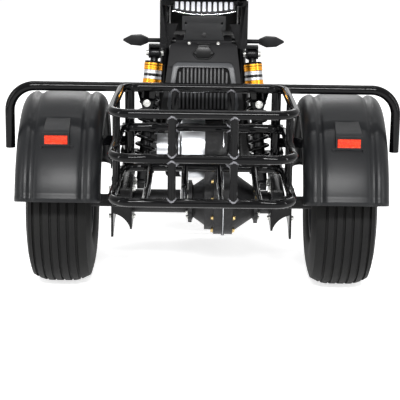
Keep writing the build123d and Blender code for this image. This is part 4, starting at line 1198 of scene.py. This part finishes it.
def makeCushion(node, plan):
    pad = recalc(cadCopy(node), 0.00002)
    centre = middle(node)
    pad.data.transform(
        Matrix.Translation(centre) @ Matrix.Scale(plan["shrink"], 4) @ Matrix.Translation(-centre)
    )
    modify(pad, "REMESH", mode="VOXEL", voxel_size=0.006)
    # The sides pull in towards the foot
    low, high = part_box(node)
    for vertex in pad.data.vertices:
        share = min(1.0, max(0.0, (vertex.co.z - low.z) / (plan["level"] - low.z)))
        share = share * share * (3 - 2 * share)
        wide = plan["foot"] + (plan["top"] - plan["foot"]) * share
        vertex.co.x *= wide / plan["half"]
    modify(pad, "SMOOTH", factor=0.6, iterations=4)
    swell(pad, plan["cap"])
    modify(pad, "SUBSURF", levels=1, render_levels=1)
    # Sewn channels across the top and a gentle crown between them
    for vertex in pad.data.vertices:
        facing = max(0.0, vertex.normal.z)
        if facing > 0.35 and abs(vertex.co.x) < plan["welt"][0]:
            dip = 0.0
            for channel in plan["channels"]:
                away = (vertex.co.y - axleY - channel) / 0.0045
                dip = max(dip, math.exp(-away * away))
            vertex.co -= vertex.normal * 0.0035 * dip * facing
    settle(pad, plan["piece"], leatherFinish)
    smooth(pad, 70)
    return attach(pad, "frame", node)


def makeWelt(pad, plan):
    # A cord sewn round the top panel, laid on the pad's surface
    half, back, ahead = plan["welt"]
    corner = 0.03
    loop = []
    for sideX, sideY, begin in ((1, 1, 0), (-1, 1, 90), (-1, -1, 180), (1, -1, 270)):
        centreX = sideX * (half - corner)
        centreY = (ahead if sideY > 0 else back) - sideY * corner
        for index in range(7):
            turn = deg(begin + 15 * index)
            loop.append((centreX + corner * math.cos(turn), centreY + corner * math.sin(turn)))
    points = []
    for index, (x, y) in enumerate(loop):
        nextX, nextY = loop[(index + 1) % len(loop)]
        long = math.hypot(nextX - x, nextY - y)
        pieces = max(1, round(long / 0.012))
        for step in range(pieces):
            share = step / pieces
            points.append((x + (nextX - x) * share, y + (nextY - y) * share))
    laid = []
    for x, y in points:
        origin = Vector((x, axleY + y, 1.2))
        hit, spot, normal, face = pad.ray_cast(origin, Vector((0, 0, -1)))
        if hit:
            laid.append(spot + normal * 0.0006)
    return tubeAlong(plan["piece"] + "Welt", laid, 0.0019, leatherFinish, cyclic=True, resolution=3)


def makeStitches(pad, plan):
    # Short stitches beside the welt
    half, back, ahead = plan["welt"]
    half -= 0.006
    back += 0.006
    ahead -= 0.006
    stitches = []
    first = block("stitch", threadFinish, (0.0046, 0.0011, 0.0009))
    bevel(first, 0.0003, 1, 30)
    corner, pitch = 0.03, 0.0075
    runs = []
    for sideX in (-1, 1):
        for index in range(int((ahead - back - 2 * corner) / pitch)):
            runs.append((sideX * half, back + corner + index * pitch, 90.0))
    for sideY in (back, ahead):
        for index in range(int((2 * half - 2 * corner) / pitch)):
            runs.append((-half + corner + index * pitch, sideY, 0.0))
    for x, y, turn in runs:
        hit, spot, normal, face = pad.ray_cast(Vector((x, axleY + y, 1.2)), Vector((0, 0, -1)))
        if not hit:
            continue
        lie = normal.to_track_quat("Z", "Y").to_matrix().to_4x4()
        place = Matrix.Translation(spot + normal * 0.0002) @ lie @ Matrix.Rotation(deg(turn), 4, "Z")
        stitches.append(copyOf(first, "stitch", matrix=place))
    bpy.data.objects.remove(first)
    return join(plan["piece"] + "Stitches", stitches, threadFinish)


for cushionNode, cushionPlan in cushions.items():
    cushion = makeCushion(cushionNode, cushionPlan)
    attach(makeWelt(cushion, cushionPlan), "frame")
    attach(makeStitches(cushion, cushionPlan), "frame")
print("stage: cushions")

# What each CAD node is finished with: the finish, the softened edge and the record's slot
dressing = {
    "main_frame": (chassisPaint, 0.0, "frame_paint"),
    "rear_rail": (tubePaint, 0.0, "rail_paint"),
    "cargo_basket": (tubePaint, 0.0, "rail_paint"),
    "gearbox": (ironFinish, 0.002, "gear_paint"),
    "motor": (silverFinish, 0.0015, "motor_metal"),
    "axle_housing": (ironFinish, 0.0015, "gear_paint"),
    "swing_arms": (chassisPaint, 0.001, "frame_paint"),
    "shock_absorbers": (chassisPaint, 0.001, "gold"),
    "shock_bolts": (zincFinish, 0.0005, "machined"),
    "footboard": (rubberFinish, 0.0008, "rubber"),
    "battery_case": (coverFinish, 0.006, "cover_plastic"),
    "body_cover": (coverFinish, 0.008, "cover_plastic"),
    "tail_cover": (coverFinish, 0.0015, "cover_plastic"),
    "plate_bracket": (bracketFinish, 0.0006, "frame_paint"),
    "rear_signals": (coverFinish, 0.001, "cover_plastic"),
    "seat_pan": (coverFinish, 0.002, "cover_plastic"),
    "fork": (tubePaint, 0.001, "rail_paint"),
    "front_fender": (wingFinish, 0.001, "wing_plastic"),
    "headlamp": (lampFinish, 0.001, "lamp"),
    "front_signals": (coverFinish, 0.001, "cover_plastic"),
    "handlebar": (chromeFinish, 0.0, "chrome"),
    "grips": (rubberFinish, 0.001, "rubber"),
    "bar_controls": (coverFinish, 0.0008, "cover_plastic"),
    "bar_mirrors": (coverFinish, 0.003, "cover_plastic"),
    "display": (coverFinish, 0.002, "cover_plastic"),
    "rear_rim_right": (rimFinish, 0.001, "rim_paint"),
    "rear_rim_left": (rimFinish, 0.001, "rim_paint"),
    "front_rim": (rimFinish, 0.001, "rim_paint"),
    "front_disc": (steelFinish, 0.0004, "machined"),
}
dressed = {nodeName: dress(nodeName, *nodeLook) for nodeName, nodeLook in dressing.items()}

# The motor's drum is bright, its neck is grey and its end cover black
motorBounds = {"neck": -0.0645, "cover": -0.1295}
paintFaces(dressed["motor"], steelFinish, lambda place, normal: place.x < motorBounds["neck"])
paintFaces(dressed["motor"], ironFinish, lambda place, normal: place.x < motorBounds["cover"])
print("stage: frame pieces finished")

# The tail guard's raised frame and ribs catch more light than the floor between the ribs, so they get lighter
# finishes, a painted highlight, and the floor gets a darker one, painted shade.
# Distances are from the axis of the guard's bend.
guard = {"frame": 0.3328, "ribs": (0.3305, 0.332), "panel": (0.3245, 0.3302), "half": 0.09, "panelTop": 0.623}
guardBend = at(0, chargeCap["bendY"], chargeCap["bendZ"])


def fromBend(place):
    return Vector((0, place.y - guardBend.y, place.z - guardBend.z))


def onGuardFrame(place, normal):
    out = fromBend(place)
    return out.length > guard["frame"] and normal.dot(out.normalized()) > 0.5


def onGuardRibs(place, normal):
    out = fromBend(place)
    near, far = guard["ribs"]
    return abs(place.x) < guard["half"] and near < out.length < far and normal.dot(out.normalized()) > 0.9


def inGuardPanel(place, normal):
    near, far = guard["panel"]
    inside = abs(place.x) < guard["half"] and place.z < guard["panelTop"]
    return inside and near < fromBend(place).length < far and normal.y < 0.3


# Painted highlight on the guard's frame and ribs, painted shade on the panel between the ribs
paintFaces(dressed["tail_cover"], litGuardFrameFinish, onGuardFrame)
paintFaces(dressed["tail_cover"], shadedGuardPanelFinish, inGuardPanel)
paintFaces(dressed["tail_cover"], litGuardRibFinish, onGuardRibs)
paintFaces(dressed["front_signals"], amberFinish, lambda place, normal: normal.y > 0.75)

# Steering parts, by the steering axis: sideways, ahead of the axis, up from the axle
steering = {
    "rake": 27.0,
    "offset": 28.8,
    "bar": (4.0, 682.0),
    "barBend": (250.0, -62.0, 150.0),
    "barTip": (400.0, -176.0, 138.0),
    "gripLong": 125.0,
    "gripRadius": 17.2,
    "gripRibs": 15,
    "mirrorIn": 66.0,
    "mirrorHead": (84.0, 0.0, 156.0),
    "mirrorHalf": (68.0, 35.0),
    "mirrorDepth": 16.0,
    "dial": (34.0, 661.0),
    "dialRadius": 31.0,
    "lamp": (62.8, 500.0),
    "lampFront": 92.0,
    "lampRadius": 80.0,
}
steerUp = Vector((0, -math.sin(deg(steering["rake"])), math.cos(deg(steering["rake"]))))
steerAhead = Vector((0, math.cos(deg(steering["rake"])), math.sin(deg(steering["rake"]))))


def onFork(side, ahead, along):
    shift = steerAhead * (ahead - steering["offset"]) + steerUp * along
    return frontAxle + (Vector((side, 0, 0)) + shift) / 1000


def facing(place, way, up=(0, 0, 1)):
    # Turns the local X axis to a direction at a place
    x = Vector(way).normalized()
    y = Vector(up).cross(x).normalized()
    z = x.cross(y)
    return Matrix.Translation(place) @ Matrix((x, y, z)).transposed().to_4x4()


barCentre = onFork(0, *steering["bar"])
gripTip = barCentre + Vector(steering["barTip"]) / 1000
gripWay = (Vector(steering["barTip"]) - Vector(steering["barBend"])).normalized()


def makeGripRibs():
    long = steering["gripLong"] / 1000
    radius = steering["gripRadius"] / 1000
    pitch = (long - 0.02) / steering["gripRibs"]
    profile = [(-long + 0.009, radius - 0.002)]
    for index in range(steering["gripRibs"]):
        begin = -long + 0.01 + index * pitch
        profile += [
            (begin, radius), (begin + pitch * 0.15, radius + 0.0014),
            (begin + pitch * 0.6, radius + 0.0014), (begin + pitch * 0.75, radius),
        ]
    profile.append((-0.0085, radius - 0.002))
    ribs = lathe("gripRibs", profile, rubberFinish, steps=40, sharp=30)
    ribs.data.transform(facing(gripTip, gripWay))
    return ribs


def makeMirrorGlass():
    # A flat glass with round ends, set on the back face of the mirror's head
    long, high = steering["mirrorHalf"]
    outline = []
    for begin, sideX in ((-90, 1), (90, -1)):
        for index in range(13):
            turn = deg(begin + 15 * index)
            outline.append((sideX * (long - high) + high * math.cos(turn), high * math.sin(turn)))
    glass = recalc(drawnOut([(0.0, x / 1000, z / 1000) for x, z in outline], (0.0022, 0, 0)))
    bevel(glass, 0.0008, 2, 40)
    foot = gripTip - gripWay * (steering["gripLong"] + steering["mirrorIn"]) / 1000
    head = foot + Vector(steering["mirrorHead"]) / 1000
    way = Vector((0, -1, 0.12)).normalized()
    glass.data.transform(facing(head + way * (steering["mirrorDepth"] / 1000 - 0.001), way))
    settle(glass, "mirrorGlass", mirrorFinish)
    return smooth(glass, 30)


def makeDial():
    # Instrument glass in a thin bezel, with a ring of plain marks
    radius = steering["dialRadius"] / 1000
    top = onFork(0, *steering["dial"])
    glass = lathe(
        "dialGlass",
        [(-0.001, 0.0), (0.0016, 0.0), (0.0012, radius * 0.6), (0.0004, radius - 0.002), (-0.001, radius - 0.002)],
        dialFinish, steps=48
    )
    bezel = lathe(
        "dialBezel",
        [(-0.001, radius - 0.002), (0.0022, radius - 0.0015), (0.003, radius), (0.0022, radius + 0.002),
         (-0.001, radius + 0.0024)],
        chromeFinish, steps=64
    )
    marks = []
    for index in range(11):
        size = (0.0008, 0.0012, 0.004 if index % 5 else 0.0065)
        mark = block("dialMark", glowingBarFinish, size, (0.0012, 0, radius * 0.78))
        bevel(mark, 0.0002, 1, 30)
        mark.data.transform(Matrix.Rotation(deg(-120 + 24 * index), 4, "X"))
        marks.append(mark)
    for piece in [glass, bezel] + marks:
        piece.data.transform(facing(top, steerUp, (0, 1, 0)))
    attach(glass, "steering")
    attach(bezel, "steering")
    attach(join("dialMarks", marks), "steering")


def makeHeadlampFront():
    # A dim bowl with two raised rings, a small lens in the middle, a light ring and a rim
    front = onFork(0, *steering["lamp"])
    way = Vector((0, 1, -0.04)).normalized()
    place = facing(front + way * (steering["lampFront"] / 1000), way)
    radius = steering["lampRadius"] / 1000
    rows = (
        ("headlampBowl", bowlFinish, 64, "motor_metal", [
            (-0.002, 0.0), (0.0008, 0.0), (0.0012, 0.018), (0.003, 0.0185), (0.003, 0.0215), (0.001, 0.022),
            (0.0012, 0.042), (0.0026, 0.043), (0.0026, 0.047), (0.001, 0.048), (0.0022, radius - 0.006),
            (-0.002, radius - 0.006),
        ]),
        ("headlampEye", lensFinish, 48, "lamp_white", [
            (0.0, 0.0), (0.0095, 0.0), (0.0088, 0.006), (0.0062, 0.0115), (0.002, 0.0158), (0.0, 0.016),
        ]),
        ("headlampRing", glowingBarFinish, 64, "lamp_white", [
            (0.0012, 0.050), (0.0036, 0.0505), (0.0036, 0.0555), (0.0012, 0.056),
        ]),
        ("headlampRim", chromeFinish, 72, "chrome", [
            (-0.004, radius - 0.006), (0.002, radius - 0.006), (0.006, radius - 0.003), (0.0075, radius + 0.001),
            (0.006, radius + 0.005), (0.0, radius + 0.0072), (-0.004, radius + 0.0072),
        ]),
    )
    for name, finish, steps, slot, profile in rows:
        piece = lathe(name, profile, finish, steps=steps)
        piece.data.transform(place)
        attach(piece, "steering")


bothSides(makeGripRibs(), "gripRibPair", "steering")
bothSides(makeMirrorGlass(), "mirrorGlassPair", "steering")
makeDial()
makeHeadlampFront()

# Nuts on the rear hubs and at both ends of the front axle
nuts = {"count": 5, "hubFace": 0.0521, "ring": 0.021, "forkFace": 0.1045}
wheelNuts = []
for nutIndex in range(nuts["count"]):
    nutTurn = 2 * math.pi * nutIndex / nuts["count"]
    nutPlace = axle + Vector((nuts["hubFace"], nuts["ring"] * math.cos(nutTurn), nuts["ring"] * math.sin(nutTurn)))
    wheelNuts.append(hexBolt("wheelNut", nutPlace, (1, 0, 0), zincFinish, 0.009, 0.006))
rightNuts = join("wheelNutsRight", wheelNuts)
leftNuts = copyOf(rightNuts, "wheelNutsLeft", mirrored=True)
attach(rightNuts, "rear_wheel_right")
attach(leftNuts, "rear_wheel_left")
forkNuts = []
for nutSide in (-1, 1):
    nutPlace = frontAxle + Vector((nutSide * nuts["forkFace"], 0, 0))
    forkNuts.append(hexBolt("axleNut", nutPlace, (nutSide, 0, 0), zincFinish, 0.019, 0.0055))
attach(join("axleNuts", forkNuts), "steering")
print("stage: steering details")

for pattern in boltPatterns.values():
    bpy.data.objects.remove(pattern)

# Floor, backdrop light and lamps
studio = {
    "floorSize": 30.0,
    "floorColor": (0.93, 0.93, 0.93),
    "worldShade": 0.22,
    "floorLift": 0.72,
    "lamps": [
        # name, place, aims at, width, height, watts
        ("behindStrip", (0.0, -4.9, 3.2), (0.0, -0.9, 0.4), 3.2, 0.42, 360.0),
        ("behindHighSoftbox", (0.0, -3.6, 5.2), (0.0, -0.8, 0.4), 2.6, 1.4, 10.0),
        ("topStrip", (0.0, -0.4, 3.2), (0.0, -0.4, 0.4), 2.6, 0.16, 26.0),
        ("leftSoftbox", (-3.2, -2.4, 1.4), (-0.3, -0.6, 0.4), 0.2, 2.2, 36.0),
        ("rightSoftbox", (3.2, -2.4, 1.4), (0.3, -0.6, 0.4), 0.2, 2.2, 36.0),
        ("frontSoftbox", (0.0, 3.6, 2.4), (0.0, 0.4, 0.5), 2.4, 1.0, 32.0),
    ],
}


def seenDirect(nodes):
    # 1 for rays that come from the camera, off gloss or through glass
    path = nodes.tree.nodes.new("ShaderNodeLightPath")
    camera, gloss, through = [
        Wire(nodes, path.outputs[name]) for name in ("Is Camera Ray", "Is Glossy Ray", "Is Transmission Ray")
    ]
    return (camera + gloss).maths("ADD", through, clamp=True)


def makeFloor():
    deselect()
    bpy.ops.mesh.primitive_plane_add(size=studio["floorSize"], location=(0, 0, 0))
    floor = bpy.context.active_object
    floor.name = "studioFloor"
    finish = Finish("studioFloorWhite", studio["floorColor"], 0.9, specular=0.2)
    # Seen directly or in gloss, the floor is lifted towards white but keeps the shadow
    finish.set("Emission Color", (1.0, 1.0, 1.0, 1.0))
    finish.set("Emission Strength", seenDirect(finish) * studio["floorLift"])
    floor.data.materials.append(finish.material)


def makeWorld():
    world = bpy.data.worlds.new("studioWorld")
    scene.world = world
    world.use_nodes = True
    nodes = Nodes(world.node_tree)
    background = nodes.tree.nodes["Background"]
    level = nodes.node("ShaderNodeMapRange", {}, seenDirect(nodes), 0.0, 1.0, studio["worldShade"], 1.0)
    nodes.feed(background.inputs["Color"], (1.0, 1.0, 1.0, 1.0))
    nodes.feed(background.inputs["Strength"], level)


def makeLamp(name, place, target, width, height, watts):
    data = bpy.data.lights.new(name, "AREA")
    data.shape = "RECTANGLE"
    data.size = width
    data.size_y = height
    data.energy = watts
    lamp = bpy.data.objects.new(name, data)
    scene.collection.objects.link(lamp)
    lamp.location = place
    lamp.rotation_euler = (Vector(target) - Vector(place)).to_track_quat("-Z", "Y").to_euler()


makeFloor()
makeWorld()
for row in studio["lamps"]:
    makeLamp(*row)

# The camera stands behind the trike, a little above it
camera = {
    "place": (-0.0155, -3.872, 1.201),
    "pitchDown": 0.2448,
    "heading": -0.0040,
    "roll": 0.0141,
    "focalPixels": 1397.0,
    "framePixels": 400.0,
    "centrePixel": 201.4,
}


def makeCamera():
    data = bpy.data.cameras.new("photoCamera")
    data.sensor_width = 36.0
    data.lens = camera["focalPixels"] / camera["framePixels"] * data.sensor_width
    data.shift_x = (camera["framePixels"] / 2 - camera["centrePixel"]) / camera["framePixels"]
    made = bpy.data.objects.new("photoCamera", data)
    scene.collection.objects.link(made)
    x, y, z = camera["place"]
    made.location = (x, axleY + y, z)
    turn = Matrix.Rotation(camera["heading"], 3, "Z")
    turn = turn @ Matrix.Rotation(math.pi / 2 - camera["pitchDown"], 3, "X")
    turn = turn @ Matrix.Rotation(camera["roll"], 3, "Z")
    made.rotation_euler = turn.to_euler()
    scene.camera = made


makeCamera()
print("stage: studio ready")
